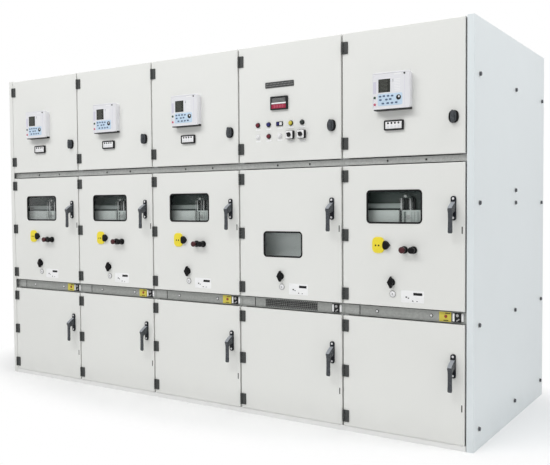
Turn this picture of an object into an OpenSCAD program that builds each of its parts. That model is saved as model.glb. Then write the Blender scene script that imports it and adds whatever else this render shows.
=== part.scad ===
// Medium-voltage switchgear: a line-up of metal-clad bays standing side by side on one base.
// Each bay stacks a control compartment, a withdrawable breaker compartment and a cable compartment,
// and each compartment has its own hinged door. One bay of the row is a metering bay.
// Frame: +X runs along the row, +Y from the doors to the rear, +Z up from the floor. Units: millimetres.

/* [Line-up] */
// Width of one bay between its joint lines
bay_w = 700; // [660:10:1000]
// Height from the floor to the top of the roof
height = 2200; // [2100:10:2600]
// Depth from the door fronts to the rear covers
depth = 1400; // [1200:10:1800]
// Width of the closing panel at each end of the row
end_w = 40; // [30:1:80]

/* [Sheet metal] */
// Thickness of door, cover and end panel sheet
sheet = 2; // [1.5:0.5:3]
// Thickness of the wall between two bays
wall_t = 4; // [3:0.5:6]
// Thickness of posts, shelves and roof plates
plate_t = 3; // [2:0.5:5]
// Width of the posts behind the door edges
post_w = 50; // [40:1:70]
// Radius of the folded door edges
fold_r = 4; // [3:0.5:8]

/* [Doors] */
// Depth of a door's folded tray
door_t = 24; // [18:1:35]
// Gap between neighbouring doors
joint_gap = 10; // [10:1:16]
// Gap above and below each door
door_gap = 6; // [5:0.5:10]
// Gap between the closed door and the posts
seat_gap = 5; // [5:0.5:8]
// Height of the cable compartment door
cable_door_h = 615; // [520:5:700]
// Height of the breaker compartment door
breaker_door_h = 756; // [720:2:800]

/* [Base and rails] */
// Height of the base frame
plinth_h = 25; // [20:1:100]
// Width of the front and rear base channels
bearer_w = 90; // [80:1:140]
// Radius of the floor fixing holes
anchor_r = 7; // [5:0.5:10]
// Distance of the floor fixing holes from the bay's joint lines
anchor_inset = 100; // [60:5:200]
// Height of the rail between cable and breaker doors
lower_rail_h = 56; // [50:1:80]
// Height of the rail between breaker and control doors
upper_rail_h = 32; // [25:1:60]
// Depth of the rail channels
rail_depth = 12; // [8:1:14]

/* [Compartments] */
// Depth of the control compartment
control_depth = 420; // [250:10:600]
// Depth of the breaker compartment
breaker_depth = 720; // [650:10:900]

/* [Hinges] */
// Height of a hinge
hinge_h = 66; // [50:2:90]
// Width of the hinge leaf on the door
hinge_leaf_w = 32; // [28:1:50]
// Radius of the hinge knuckles
knuckle_r = 6; // [5:0.5:7]
// Radius of the hinge pin
pin_r = 2.5; // [2:0.25:3.5]
// Radial clearance of the pin in the door's knuckles
pin_clear = 0.1; // [0.05:0.05:0.3]
// Distance of the hinge centres from the ends of the control doors
control_hinge_inset = 80; // [50:5:120]
// Distance of the hinge centres from the ends of the other doors
hinge_inset = 55; // [45:5:90]

/* [Handles] */
// Reach of the lever handles in front of the doors
handle_reach = 60; // [56:1:75]
// Height of the lever handle's back plate
handle_plate_h = 124; // [100:2:150]
// Width of the lever handle's back plate
handle_plate_w = 28; // [24:1:36]
// Length of the lever's grip
grip_l = 118; // [110:2:160]
// Distance of handles and knobs from the bay's right joint line
handle_inset = 64; // [55:1:80]
// Height of the breaker door's handle above the door's lower edge
breaker_handle_up = 524; // [300:5:600]
// Height of the cable door's handle above the door's lower edge
cable_handle_up = 402; // [200:5:420]
// Half width of the control door's knob
knob_r = 26; // [20:1:32]
// Height of the control door's knob above the door's lower edge
knob_up = 186; // [100:5:300]

/* [Door windows] */
// Width of the breaker doors' window
window_w = 310; // [250:5:360]
// Height of the breaker doors' window
window_h = 170; // [140:5:200]
// Centre of the window from the bay's left joint line
window_x = 308; // [240:2:330]
// Centre of the window above the door's lower edge
window_up = 533; // [500:1:560]
// Width of the metering bay's window
metering_window_w = 258; // [200:2:300]
// Height of the metering bay's window
metering_window_h = 142; // [120:1:180]
// Centre of the metering bay's window above the door's lower edge
metering_window_up = 317; // [290:1:400]
// Thickness of the window panes
pane_t = 5; // [4:0.5:8]

/* [Devices] */
// Width of the protection relay
relay_w = 212; // [150:2:240]
// Height of the protection relay
relay_h = 192; // [170:2:210]
// Reach of the protection relay in front of the door
relay_t = 46; // [30:1:52]
// Centre of the relay from the bay's left joint line
relay_x = 312; // [260:2:360]
// Centre of the relay above the door's lower edge
relay_up = 341; // [320:2:400]
// Width of the status module under the relay
status_w = 110; // [80:2:140]
// Height of the status module
status_h = 54; // [40:2:70]
// Diameter of lamps and buttons
lamp_d = 30; // [22:1:36]
// Spacing of the lamps and switches on the metering bay's control door
lamp_pitch = 76; // [60:1:80]
// Radius of the breaker's two push buttons
button_r = 20; // [14:1:22]

/* [Hidden] */
bay_count = 5;
metering_bay = 4;
bays = [for (b = [1 : bay_count]) b];
breaker_bays = [for (b = bays) if (b != metering_bay) b];
lines = [for (i = [0 : bay_count]) i];

// The handles reach furthest forward, and the rear covers furthest back.
front_y = (handle_reach - depth) / 2;
row_w = bay_count * bay_w;

// Distances behind the door fronts
post_y = door_t + seat_gap;
inside_y = post_y + plate_t;
cover_t = 20;
rear_post_y = depth - cover_t - plate_t;

// Heights from the floor up
cable_door_z = plinth_h + door_gap;
lower_rail_z = cable_door_z + cable_door_h + door_gap;
breaker_door_z = lower_rail_z + lower_rail_h + door_gap;
upper_rail_z = breaker_door_z + breaker_door_h + door_gap;
control_door_z = upper_rail_z + upper_rail_h + door_gap;
flap_t = 3;
roof_z = height - flap_t - plate_t;
control_door_h = roof_z - control_door_z;
breaker_floor_z = lower_rail_z + lower_rail_h / 2 - plate_t / 2;
control_floor_z = upper_rail_z + upper_rail_h / 2 - plate_t / 2;
cover_split_up = 320;
cover_split_z = breaker_floor_z + cover_split_up;
tube_w = 40;
roof_edge = 60;

// Hinge pin in front of the door's left edge, clear of the neighbouring door
pin_inset = 2;
knuckle_lift = 0.5;
pin_x = joint_gap / 2 + pin_inset;
pin_y = -knuckle_r - knuckle_lift;
hinge_leaf_t = 6;
knuckle_gap = 1;
middle_knuckle_h = (hinge_h - 2 * knuckle_gap) / 3;
bracket_t = 3;

// Stiffener channel inside each door, right of its window
stiffener_x = 518;
stiffener_w = 80;
stiffener_t = 14;
stiffener_inset = 60;

// Lower rail: cover joint, ventilation slots and earthing interlock
cover_joint_x = 94;
slot_pitch = 13;
slot_w = 7;
slot_margin = 16;
sign_w = 64;
sign_t = 4;
sign_boss_r = 11;
sign_boss_t = 8;
guard_w = 46;
guard_t = 9;
guard_slot_w = 10;
guard_shaft_r = 6;
interlock_inset = 148;
interlock_gap = 6;

// Trucks behind the breaker doors
truck_y = 110;
truck_l = 540;
truck_base_h = 50;
truck_base_lap = 30;
truck_cover_y = 120;
truck_cover_w = 500;
truck_cover_t = 230;
truck_cover_drop = 19;
truck_joint_x = 290;
truck_joint_pitch = 106;
truck_joint_w = 18;
truck_joint_t = 60;
pole_y = 490;
pole_r = 70;
pole_pitch = 165;
pole_rise = 60;
yoke_y = 340;
yoke_h = 60;
beam_y = 200;
beam_l = 250;
beam_t = 40;
beam_h = 27;
beam_foot_w = 20;
beam_foot_h = 12;
arch_x = 312;
arch_y = 150;
arch_pitch = 52;
arch_r = 5;
arch_h = 66;
arch_bar_h = 8;
shield_w = 590;
shield_t = 12;
shield_lap = 60;
transformer_l = 330;
transformer_drop = 200;

// Lever handles and knobs
lever_t = 14;
lever_w = 24;
lever_root_up = 34;
lever_root_down = 16;
handle_plate_t = 8;
knob_reach = 30;
knob_rose_t = 9;
knob_grip_w = 18;
knob_grip_lap = 6;

// Relays and status modules
relay_corner = 8;
relay_bezel_t = 18;
relay_step = 6;
relay_sink = 2;
display_x = -37;
display_up = 26;
display_w = 68;
display_h = 70;
keys_x = -5;
keys_w = 140;
keys_h = 62;
keys_foot = 18;
key_r = 4.5;
status_drop = 178;
status_t = 14;
status_rim = 8;
status_corner = 6;
status_sink = 3;

// Metering bay: its instruments, and shares of the door's free height below and between their rows
instrument_x = 294;
strip_w = 195;
strip_h = 33;
strip_t = 4;
meter_w = 116;
meter_h = 78;
meter_t = 14;
meter_rim = 8;
meter_sink = 2;
tag_w = 44;
tag_h = 26;
lamp_bezel_t = 6;
lamp_reach = 14;
lamp_step = 4;
switch_w = 48;
switch_t = 24;
switch_reach = 36;
switch_grip_w = 10;
switch_grip_l = 28;
row_pitch = 68;
instrument_spare = control_door_h - switch_w / 2 - row_pitch - lamp_d / 2 - meter_h - strip_h;
lower_row_up = 0.268 * instrument_spare + switch_w / 2;
upper_row_up = lower_row_up + row_pitch;
meter_up = upper_row_up + lamp_d / 2 + 0.143 * instrument_spare + meter_h / 2;
strip_up = meter_up + meter_h / 2 + 0.114 * instrument_spare + strip_h / 2;

// Breaker door: window panes and the controls under the windows
pane_lap = 12;
window_r = 18;
key_plate_x = 219;
key_plate_up = 328;
key_plate_w = 70;
key_plate_h = 86;
key_plate_corner = 26;
key_plate_t = 6;
key_knob_x = 42;
key_knob_r = 16;
key_knob_collar_t = 26;
key_knob_reach = 40;
button_x = 369;
button_pitch = 52;
button_up = 306;
button_collar_t = 10;
button_skirt_t = 34;
button_reach = 44;
button_step = 5;
button_cap_step = 2;
selector_x = 295;
selector_up = 131;
selector_rose_r = 22;
selector_rose_t = 8;
selector_w = 42;
selector_h = 60;
selector_reach = 26;
cylinder_lock_x = 302;
cylinder_lock_up = 69;
cylinder_lock_r = 18;
cylinder_lock_t = 5;
cylinder_lock_rim = 4;
key_way_w = 3;
key_way_h = 14;
part_gap = 0.5;
cut = 1;

$fn = 48;

// Left joint line of a bay
function bay_x(b) = (b - 1) * bay_w - row_w / 2;
// Joint line by its number, from the left end of the row
function line_x(i) = i * bay_w - row_w / 2;
// Heights of the hinge centres on a door
function hinge_heights(z, h, inset, n) = [for (i = [0 : n - 1]) z + inset + i * (h - 2 * inset) / (n - 1)];
function control_hinges() = hinge_heights(control_door_z, control_door_h, control_hinge_inset, 2);
function breaker_hinges() = hinge_heights(breaker_door_z, breaker_door_h, hinge_inset, 3);
function cable_hinges() = hinge_heights(cable_door_z, cable_door_h, hinge_inset, 3);

// Places children in a bay: x from its left joint line, y from the door fronts
module at_bay(b) {
    translate([bay_x(b), front_y, 0]) children();
}

// Extrudes a front view outline backwards from y = 0
module sunk(t) {
    translate([0, t, 0]) rotate([90, 0, 0]) linear_extrude(t) children();
}

// Extrudes a front view outline forwards from y = 0
module proud(t) {
    rotate([90, 0, 0]) linear_extrude(t) children();
}

// Extrudes an outline with its first axis pointing down and its second axis back, along +X
module along_x(l) {
    rotate([0, 90, 0]) linear_extrude(l) children();
}

// Rectangle with round corners, about its centre
module round_rect(w, h, r) {
    square([w - 2 * r, h], center = true);
    square([w, h - 2 * r], center = true);
    for (x = [-1, 1], y = [-1, 1]) translate([x * (w / 2 - r), y * (h / 2 - r)]) circle(r);
}

// Section of a folded sheet whose two front corners are round
module folded_section(w, t, r) {
    translate([0, r]) square([w, t - r]);
    translate([r, 0]) square([w - 2 * r, t]);
    for (x = [r, w - r]) translate([x, r]) circle(r);
}

// Sheet folded into a tray that is open at the back, with round folds on all four sides
module tray(w, t, h, s, r) {
    difference() {
        intersection() {
            linear_extrude(h) folded_section(w, t, r);
            translate([0, 0, h]) along_x(w) folded_section(h, t, r);
        }
        translate([s, s, s]) cube([w - 2 * s, t, h - 2 * s]);
    }
}

// Channel section of a rail: a web at the back and a lip above and below
module rail_section(h) {
    translate([0, rail_depth - plate_t]) square([h, plate_t]);
    square([sheet, rail_depth]);
    translate([h - sheet, 0]) square([sheet, rail_depth]);
}

// Base and carcass

module base_frame() {
    color("lightgray") {
        bearer(front_y + fold_r, 1);
        bearer(front_y + depth - fold_r, -1);
        for (i = lines) cross_tube(i);
    }
}

// Base channel along the row: upright web outside, holed flange on the floor, short flange on top
module bearer(y, side) {
    top_flange = bearer_w / 3;
    difference() {
        translate([-row_w / 2, y, 0]) scale_y(side) union() {
            cube([row_w, plate_t, plinth_h]);
            cube([row_w, bearer_w, plate_t]);
            translate([0, 0, plinth_h - plate_t]) cube([row_w, top_flange, plate_t]);
        }
        for (b = bays, x = [anchor_inset, bay_w - anchor_inset])
            translate([bay_x(b) + x, y + side * bearer_w * 2 / 3, -cut])
                cylinder(r = anchor_r, h = plate_t + 2 * cut);
    }
}

// Mirrors children in y when the side is negative
module scale_y(side) {
    if (side < 0) mirror([0, 1, 0]) children();
    else children();
}

// Square tube across the base, under a wall
module cross_tube(i) {
    x = i == 0 ? -wall_t / 2 : i == bay_count ? wall_t / 2 - tube_w : -tube_w / 2;
    y = front_y + fold_r + bearer_w + part_gap;
    l = depth - 2 * (fold_r + bearer_w + part_gap);
    translate([line_x(i) + x, y, 0]) difference() {
        cube([tube_w, l, plinth_h]);
        translate([plate_t, -cut, plate_t])
            cube([tube_w - 2 * plate_t, l + 2 * cut, plinth_h - 2 * plate_t]);
    }
}

module floor_plates() {
    edge = fold_r + bearer_w + part_gap;
    color("silver") for (b = bays) {
        left = b == 1 ? tube_w - wall_t / 2 : tube_w / 2;
        right = b == bay_count ? tube_w - wall_t / 2 : tube_w / 2;
        at_bay(b) translate([left, edge, plinth_h - sheet])
            cube([bay_w - left - right, depth - 2 * edge, sheet]);
    }
}

module bay_walls() {
    color("silver") for (i = lines)
        translate([line_x(i) - wall_t / 2, front_y + inside_y, plinth_h])
            cube([wall_t, rear_post_y - inside_y, roof_z - plinth_h]);
}

module frame_posts() {
    color("silver") for (i = lines, y = [post_y, rear_post_y])
        translate([line_x(i) - post_w / 2, front_y + y, plinth_h])
            cube([post_w, plate_t, roof_z - plinth_h]);
}

// Closing panel: a tray whose outer face and front edge show
module end_panel() {
    w = end_w - wall_t / 2;
    difference() {
        translate([0, fold_r, 0]) linear_extrude(height) folded_section(w, depth - fold_r, fold_r);
        translate([-cut, fold_r + plate_t, plate_t])
            cube([w - plate_t + cut, depth - fold_r - 2 * plate_t, height - 2 * plate_t]);
    }
}

module right_end_panel() {
    color("whitesmoke") translate([row_w / 2 + wall_t / 2, front_y, 0]) end_panel();
}

module left_end_panel() {
    color("whitesmoke") mirror([1, 0, 0]) translate([row_w / 2 + wall_t / 2, front_y, 0]) end_panel();
}

module rear_covers() {
    w = bay_w - joint_gap / 2;
    top_h = roof_z - door_gap - cover_split_z;
    low_h = cover_split_z - door_gap - cable_door_z;
    color("whitesmoke") for (b = bays) at_bay(b) {
        translate([(bay_w + w) / 2, depth, cable_door_z]) rotate(180) tray(w, cover_t, low_h, sheet, fold_r);
        translate([(bay_w + w) / 2, depth, cover_split_z]) rotate(180) tray(w, cover_t, top_h, sheet, fold_r);
    }
}

// Roof plate of a bay with its two pressure relief flaps
module roof_plates() {
    length = depth - post_y;
    flap_l = (length - 3 * roof_edge) / 2;
    color("whitesmoke") for (b = bays) at_bay(b) translate([part_gap, post_y, roof_z]) {
        cube([bay_w - 2 * part_gap, length, plate_t]);
        for (y = [roof_edge, 2 * roof_edge + flap_l])
            translate([roof_edge, y, plate_t]) cube([bay_w - 2 * roof_edge, flap_l, flap_t]);
    }
}

// Shelf and back sheet of one compartment between two bay walls
module compartment(b, z, deep) {
    at_bay(b) translate([wall_t / 2, inside_y, z]) {
        cube([bay_w - wall_t, deep - part_gap, plate_t]);
        translate([0, deep, 0]) cube([bay_w - wall_t, sheet, roof_z - z]);
    }
}

module control_partitions() {
    color("silver") for (b = bays) compartment(b, control_floor_z, control_depth);
}

module breaker_partitions() {
    color("silver") for (b = bays) compartment(b, breaker_floor_z, breaker_depth);
}

module upper_rails() {
    color("darkgray") for (b = bays)
        at_bay(b) translate([part_gap, post_y - rail_depth, upper_rail_z + upper_rail_h])
            along_x(bay_w - 2 * part_gap) rail_section(upper_rail_h);
}

// Lower rail with its cover joint; the metering bay's rail is pierced by ventilation slots
module lower_rails() {
    slot_h = lower_rail_h - slot_margin;
    slot_area = bay_w / 2;
    slot_z = lower_rail_z + (lower_rail_h - slot_h) / 2;
    color("darkgray") for (b = bays)
        at_bay(b) difference() {
            translate([part_gap, post_y - rail_depth, lower_rail_z + lower_rail_h])
                along_x(bay_w - 2 * part_gap) rail_section(lower_rail_h);
            translate([cover_joint_x, post_y - rail_depth - cut, lower_rail_z - cut])
                cube([sheet, rail_depth - plate_t + 2 * cut, lower_rail_h + 2 * cut]);
            if (b == metering_bay)
                for (i = [0 : floor(slot_area / slot_pitch)])
                    translate([(bay_w - slot_area) / 2 + i * slot_pitch, 0, slot_z])
                        cube([slot_w, post_y + cut, slot_h]);
        }
}

// Earthing interlock at the right end of a lower rail: slotted shaft guard and, at a breaker, a sign plate
module interlock_units() {
    unit_h = lower_rail_h - 2 * sheet - 2 * part_gap;
    color("gold") for (b = bays)
        at_bay(b) translate([bay_w - interlock_inset, post_y - plate_t, lower_rail_z + lower_rail_h / 2]) {
            if (b != metering_bay) translate([sign_w / 2, 0, 0]) {
                proud(sign_t) round_rect(sign_w, unit_h, sign_t);
                proud(sign_boss_t) circle(sign_boss_r);
            }
            translate([sign_w + interlock_gap + guard_w / 2, 0, 0]) shaft_guard(unit_h);
        }
}

// Guard plate with an upright slot and a round shaft hole
module shaft_guard(h) {
    difference() {
        proud(guard_t) round_rect(guard_w, h, sheet);
        translate([-guard_w / 6, -guard_t - cut, -h / 3]) cube([guard_slot_w, guard_t, h * 2 / 3]);
        translate([guard_w / 5, -cut, h / 6]) proud(guard_t) circle(guard_shaft_r);
    }
}

// Fixed half of a hinge: bracket from the post, middle knuckle and pin
module hinge_bracket(z) {
    translate([pin_x, pin_y, z - middle_knuckle_h / 2]) {
        cylinder(r = knuckle_r, h = middle_knuckle_h);
        translate([-pin_x, 0, 0]) cube([bracket_t, post_y - pin_y, middle_knuckle_h]);
    }
    translate([pin_x, pin_y, z - hinge_h / 2]) cylinder(r = pin_r, h = hinge_h);
}

module hinge_brackets() {
    color("dimgray") for (b = bays)
        at_bay(b) for (z = concat(control_hinges(), breaker_hinges(), cable_hinges())) hinge_bracket(z);
}

// Withdrawable truck behind a breaker door: carriage, jointed front cover, poles, beam and lifting arch
module breaker_truck() {
    cover_x = (bay_w - truck_cover_w) / 2;
    cover_top = window_up + breaker_door_z - breaker_floor_z - plate_t - truck_cover_drop;
    cover_h = cover_top - truck_base_h;
    translate([cover_x - truck_base_lap, truck_y, 0])
        cube([truck_cover_w + 2 * truck_base_lap, truck_l, truck_base_h]);
    difference() {
        translate([cover_x, truck_cover_y, truck_base_h]) cube([truck_cover_w, truck_cover_t, cover_h]);
        for (i = [0, 1])
            translate([truck_joint_x + i * truck_joint_pitch, truck_cover_y - cut, truck_base_h * 2])
                cube([truck_joint_w, truck_joint_t + cut, cover_h]);
    }
    for (i = [-1, 0, 1])
        translate([bay_w / 2 + i * pole_pitch, pole_y, truck_base_h])
            cylinder(r = pole_r, h = cover_h + pole_rise);
    translate([cover_x, yoke_y, cover_top - yoke_h]) cube([truck_cover_w, pole_y - yoke_y, yoke_h]);
    translate([0, 0, cover_top]) {
        truck_beam(truck_joint_x + truck_joint_w - beam_l);
        lifting_arch();
    }
}

// Beam on two feet along the top of the cover
module truck_beam(x) {
    translate([x, beam_y, beam_foot_h]) cube([beam_l, beam_t, beam_h]);
    for (foot = [x + beam_l / 3, x + beam_l - beam_foot_w])
        translate([foot, beam_y, 0]) cube([beam_foot_w, beam_t, beam_foot_h]);
}

// Arch of two round bars and a flat top on the cover
module lifting_arch() {
    for (i = [0, 1]) translate([arch_x + i * arch_pitch, arch_y, 0]) cylinder(r = arch_r, h = arch_h);
    translate([arch_x - arch_r, arch_y - arch_r, arch_h])
        cube([arch_pitch + 2 * arch_r, 2 * arch_r, arch_bar_h]);
}

// Plain truck of the metering bay: carriage, front shield and transformer block
module metering_truck() {
    shield_top = window_up + breaker_door_z - breaker_floor_z - plate_t;
    shield_x = (bay_w - shield_w) / 2;
    translate([shield_x, truck_cover_y, 0]) {
        cube([shield_w, truck_l - shield_lap, truck_base_h]);
        cube([shield_w, shield_t, shield_top]);
        translate([shield_lap, 0, truck_base_h])
            cube([shield_w - 2 * shield_lap, transformer_l, shield_top - transformer_drop]);
    }
}

module withdrawable_trucks() {
    color("gray") for (b = bays)
        at_bay(b) translate([0, 0, breaker_floor_z + plate_t])
            if (b == metering_bay) metering_truck();
            else breaker_truck();
}

// Doors

// Door tray with a stiffener channel welded to the inner side of its sheet
module door(b, z, h) {
    l = h - 2 * stiffener_inset;
    at_bay(b) {
        translate([joint_gap / 2, 0, z]) tray(bay_w - joint_gap, door_t, h, sheet, fold_r);
        translate([stiffener_x, sheet / 2, z + stiffener_inset]) difference() {
            cube([stiffener_w, stiffener_t, l]);
            translate([sheet, -cut, -cut])
                cube([stiffener_w - 2 * sheet, stiffener_t - sheet + cut, l + 2 * cut]);
        }
    }
}

// Door half of a hinge: leaf on the door's face with two bored knuckles
module hinge_leaf(z) {
    clear_r = knuckle_r + knuckle_gap;
    end_h = (hinge_h - middle_knuckle_h) / 2 - knuckle_gap;
    difference() {
        union() {
            translate([pin_x, -hinge_leaf_t, z - hinge_h / 2]) cube([hinge_leaf_w, hinge_leaf_t, hinge_h]);
            for (dz = [-hinge_h / 2, hinge_h / 2 - end_h])
                translate([pin_x, pin_y, z + dz]) cylinder(r = knuckle_r, h = end_h);
        }
        translate([pin_x, pin_y, z - middle_knuckle_h / 2 - knuckle_gap])
            cylinder(r = clear_r, h = middle_knuckle_h + 2 * knuckle_gap);
        translate([pin_x, pin_y, z - hinge_h / 2 - cut])
            cylinder(r = pin_r + pin_clear, h = hinge_h + 2 * cut);
    }
}

// Side view of the lever, first axis down and second axis back: a sloping arm with a hanging grip
module lever_side() {
    r = lever_t / 2;
    y = r - handle_reach;
    root = sheet / 2 - handle_plate_t;
    translate([r, y]) circle(r);
    translate([r + grip_l, y]) circle(r);
    translate([r, y - r]) square([grip_l, lever_t]);
    polygon([[r / 4, y - r * 2 / 3], [4 * r, y], [lever_root_down, root], [-lever_root_up, root]]);
}

// Lever handle: round-ended back plate and the lever that hangs in front of it
module lever_handle() {
    proud(handle_plate_t) round_rect(handle_plate_w, handle_plate_h, handle_plate_w / 2 - sheet);
    translate([-lever_w / 2, 0, 0]) along_x(lever_w) lever_side();
}

// Turning knob of a control door: rounded rose and upright grip
module knob() {
    h = 2 * (knob_r + knob_grip_lap);
    proud(knob_rose_t) round_rect(2 * knob_r, h, knob_r - knob_grip_lap);
    proud(knob_reach) round_rect(knob_grip_w, h, knob_grip_w / 2 - sheet);
}

module fittings(b, heights) {
    at_bay(b) {
        for (z = heights) hinge_leaf(z);
        children();
    }
}

module control_door_fittings(b) {
    color("dimgray") fittings(b, control_hinges())
        translate([bay_w - handle_inset, 0, control_door_z + knob_up]) knob();
}

module breaker_door_fittings(b) {
    color("dimgray") fittings(b, breaker_hinges())
        translate([bay_w - handle_inset, 0, breaker_door_z + breaker_handle_up]) lever_handle();
}

module cable_door_fittings(b) {
    color("dimgray") fittings(b, cable_hinges())
        translate([bay_w - handle_inset, 0, cable_door_z + cable_handle_up]) lever_handle();
}

module control_door(b) {
    color("whitesmoke") door(b, control_door_z, control_door_h);
}

module cable_door(b) {
    color("whitesmoke") door(b, cable_door_z, cable_door_h);
}

// Breaker door with its window cut through the sheet
module breaker_door(b) {
    color("whitesmoke") difference() {
        door(b, breaker_door_z, breaker_door_h);
        at_window(b) translate([0, -cut, 0]) sunk(sheet + 2 * cut) window_outline(b, 0);
    }
}

module at_window(b) {
    up = b == metering_bay ? metering_window_up : window_up;
    at_bay(b) translate([window_x, 0, breaker_door_z + up]) children();
}

module window_outline(b, lap) {
    w = b == metering_bay ? metering_window_w : window_w;
    h = b == metering_bay ? metering_window_h : window_h;
    round_rect(w + 2 * lap, h + 2 * lap, window_r);
}

module breaker_door_window(b) {
    color("lightblue", 0.4) at_window(b) translate([0, sheet, 0]) sunk(pane_t) window_outline(b, pane_lap);
}

// Devices on the doors

// Protection relay: stepped case with a sunk display, a sunk key field and its keys
module protection_relay(b) {
    face_y = relay_sink - relay_t;
    keys_z = -relay_h / 2 + keys_foot;
    color("gainsboro") at_bay(b) translate([relay_x, 0, control_door_z + relay_up]) {
        proud(relay_t - relay_bezel_t / 2)
            round_rect(relay_w - 2 * relay_step, relay_h - 2 * relay_step, relay_corner);
        difference() {
            translate([0, relay_bezel_t - relay_t, 0]) proud(relay_bezel_t)
                round_rect(relay_w, relay_h, relay_corner);
            translate([display_x, face_y, display_up]) proud(relay_sink + cut)
                square([display_w, display_h], center = true);
            translate([keys_x, face_y, keys_z + keys_h / 2]) proud(relay_sink + cut)
                round_rect(keys_w, keys_h, relay_corner);
        }
        for (i = [0 : 4], j = [0 : 2])
            translate([keys_x + (i - 2) * keys_w / 5.5, face_y, keys_z + keys_h * (j + 0.5) / 3])
                proud(relay_sink + cut) circle(key_r);
    }
    color("black") at_bay(b) translate([relay_x, 0, control_door_z + relay_up - status_drop]) status_module();
}

// Status module: framed housing with a sunk face
module status_module() {
    difference() {
        proud(status_t) round_rect(status_w, status_h, status_corner);
        translate([0, status_sink - status_t, 0]) proud(status_sink + cut)
            round_rect(status_w - 2 * status_rim, status_h - 2 * status_rim, status_corner / 2);
    }
}

// Instruments of the metering bay: legend strip, digital meter, lamps and two rotary switches
module metering_instruments(b) {
    color("dimgray") at_bay(b) translate([instrument_x, 0, control_door_z]) {
        translate([0, 0, strip_up]) proud(strip_t) round_rect(strip_w, strip_h, sheet);
        translate([0, 0, meter_up]) difference() {
            proud(meter_t) round_rect(meter_w, meter_h, meter_rim / 2);
            translate([0, meter_sink - meter_t, 0]) proud(meter_sink + cut)
                round_rect(meter_w - 2 * meter_rim, meter_h - 2 * meter_rim, sheet);
        }
        for (i = [-2, -1, 1, 2]) translate([i * lamp_pitch, 0, upper_row_up]) lamp();
        translate([0, 0, upper_row_up]) proud(lamp_bezel_t) round_rect(tag_w, tag_h, sheet);
        for (i = [-2, -1, 0]) translate([i * lamp_pitch, 0, lower_row_up]) lamp();
        for (i = [1, 2]) translate([i * lamp_pitch, 0, lower_row_up]) rotary_switch();
    }
}

// Indicator lamp: bezel and stepped lens
module lamp() {
    proud(lamp_bezel_t) circle(lamp_d / 2);
    proud(lamp_reach) circle(lamp_d / 2 - lamp_step);
}

// Rotary switch: deep square body, round collar and bar grip
module rotary_switch() {
    proud(switch_t) round_rect(switch_w, switch_w, switch_w / 10);
    proud((switch_t + switch_reach) / 2) circle(switch_w / 4);
    proud(switch_reach) rotate(45) round_rect(switch_grip_w, switch_grip_l, switch_grip_w / 2 - sheet);
}

// Controls under the window: lockable key plate, two push buttons, selector and cylinder lock
module breaker_door_controls(b) {
    color("black") at_bay(b) translate([0, 0, breaker_door_z]) {
        if (b != metering_bay) {
            translate([key_plate_x, 0, key_plate_up]) key_plate();
            for (i = [0, 1]) translate([button_x + i * button_pitch, 0, button_up]) push_button();
        }
        translate([selector_x, 0, selector_up]) selector();
        translate([cylinder_lock_x, 0, cylinder_lock_up]) cylinder_lock();
    }
}

// Plate with widely rounded corners and a square key knob, on its corner, at the right edge
module key_plate() {
    proud(key_plate_t) round_rect(key_plate_w, key_plate_h, key_plate_corner);
    translate([key_knob_x, 0, 0]) {
        proud(key_knob_collar_t) circle(key_knob_r);
        proud(key_knob_reach) rotate(45) square(key_knob_r * 5 / 4, center = true);
    }
}

// Push button: collar, skirt and mushroom cap
module push_button() {
    proud(button_collar_t) circle(button_r);
    proud(button_skirt_t) circle(button_r - button_step);
    translate([0, -button_skirt_t, 0]) proud(button_reach - button_skirt_t)
        circle(button_r - button_cap_step);
}

// Selector: round rose with an upright diamond grip
module selector() {
    proud(selector_rose_t) circle(selector_rose_r);
    proud(selector_reach)
        polygon([[0, selector_h / 2], [-selector_w / 2, 0], [0, -selector_h / 2], [selector_w / 2, 0]]);
}

// Cylinder lock: rimmed disc with a key way in its sunk face
module cylinder_lock() {
    sunk_t = cylinder_lock_t / 2;
    difference() {
        proud(cylinder_lock_t) circle(cylinder_lock_r);
        translate([0, -sunk_t, 0]) proud(sunk_t + cut) circle(cylinder_lock_r - cylinder_lock_rim);
        translate([0, -cut, 0]) proud(cylinder_lock_t) square([key_way_w, key_way_h], center = true);
    }
}

base_frame();
floor_plates();
bay_walls();
frame_posts();
left_end_panel();
right_end_panel();
rear_covers();
roof_plates();
control_partitions();
breaker_partitions();
upper_rails();
lower_rails();
interlock_units();
hinge_brackets();
withdrawable_trucks();
for (b = bays) {
    control_door(b);
    control_door_fittings(b);
    breaker_door(b);
    breaker_door_window(b);
    breaker_door_fittings(b);
    breaker_door_controls(b);
    cable_door(b);
    cable_door_fittings(b);
}
for (b = breaker_bays)
    protection_relay(b);
metering_instruments(metering_bay);
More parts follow.
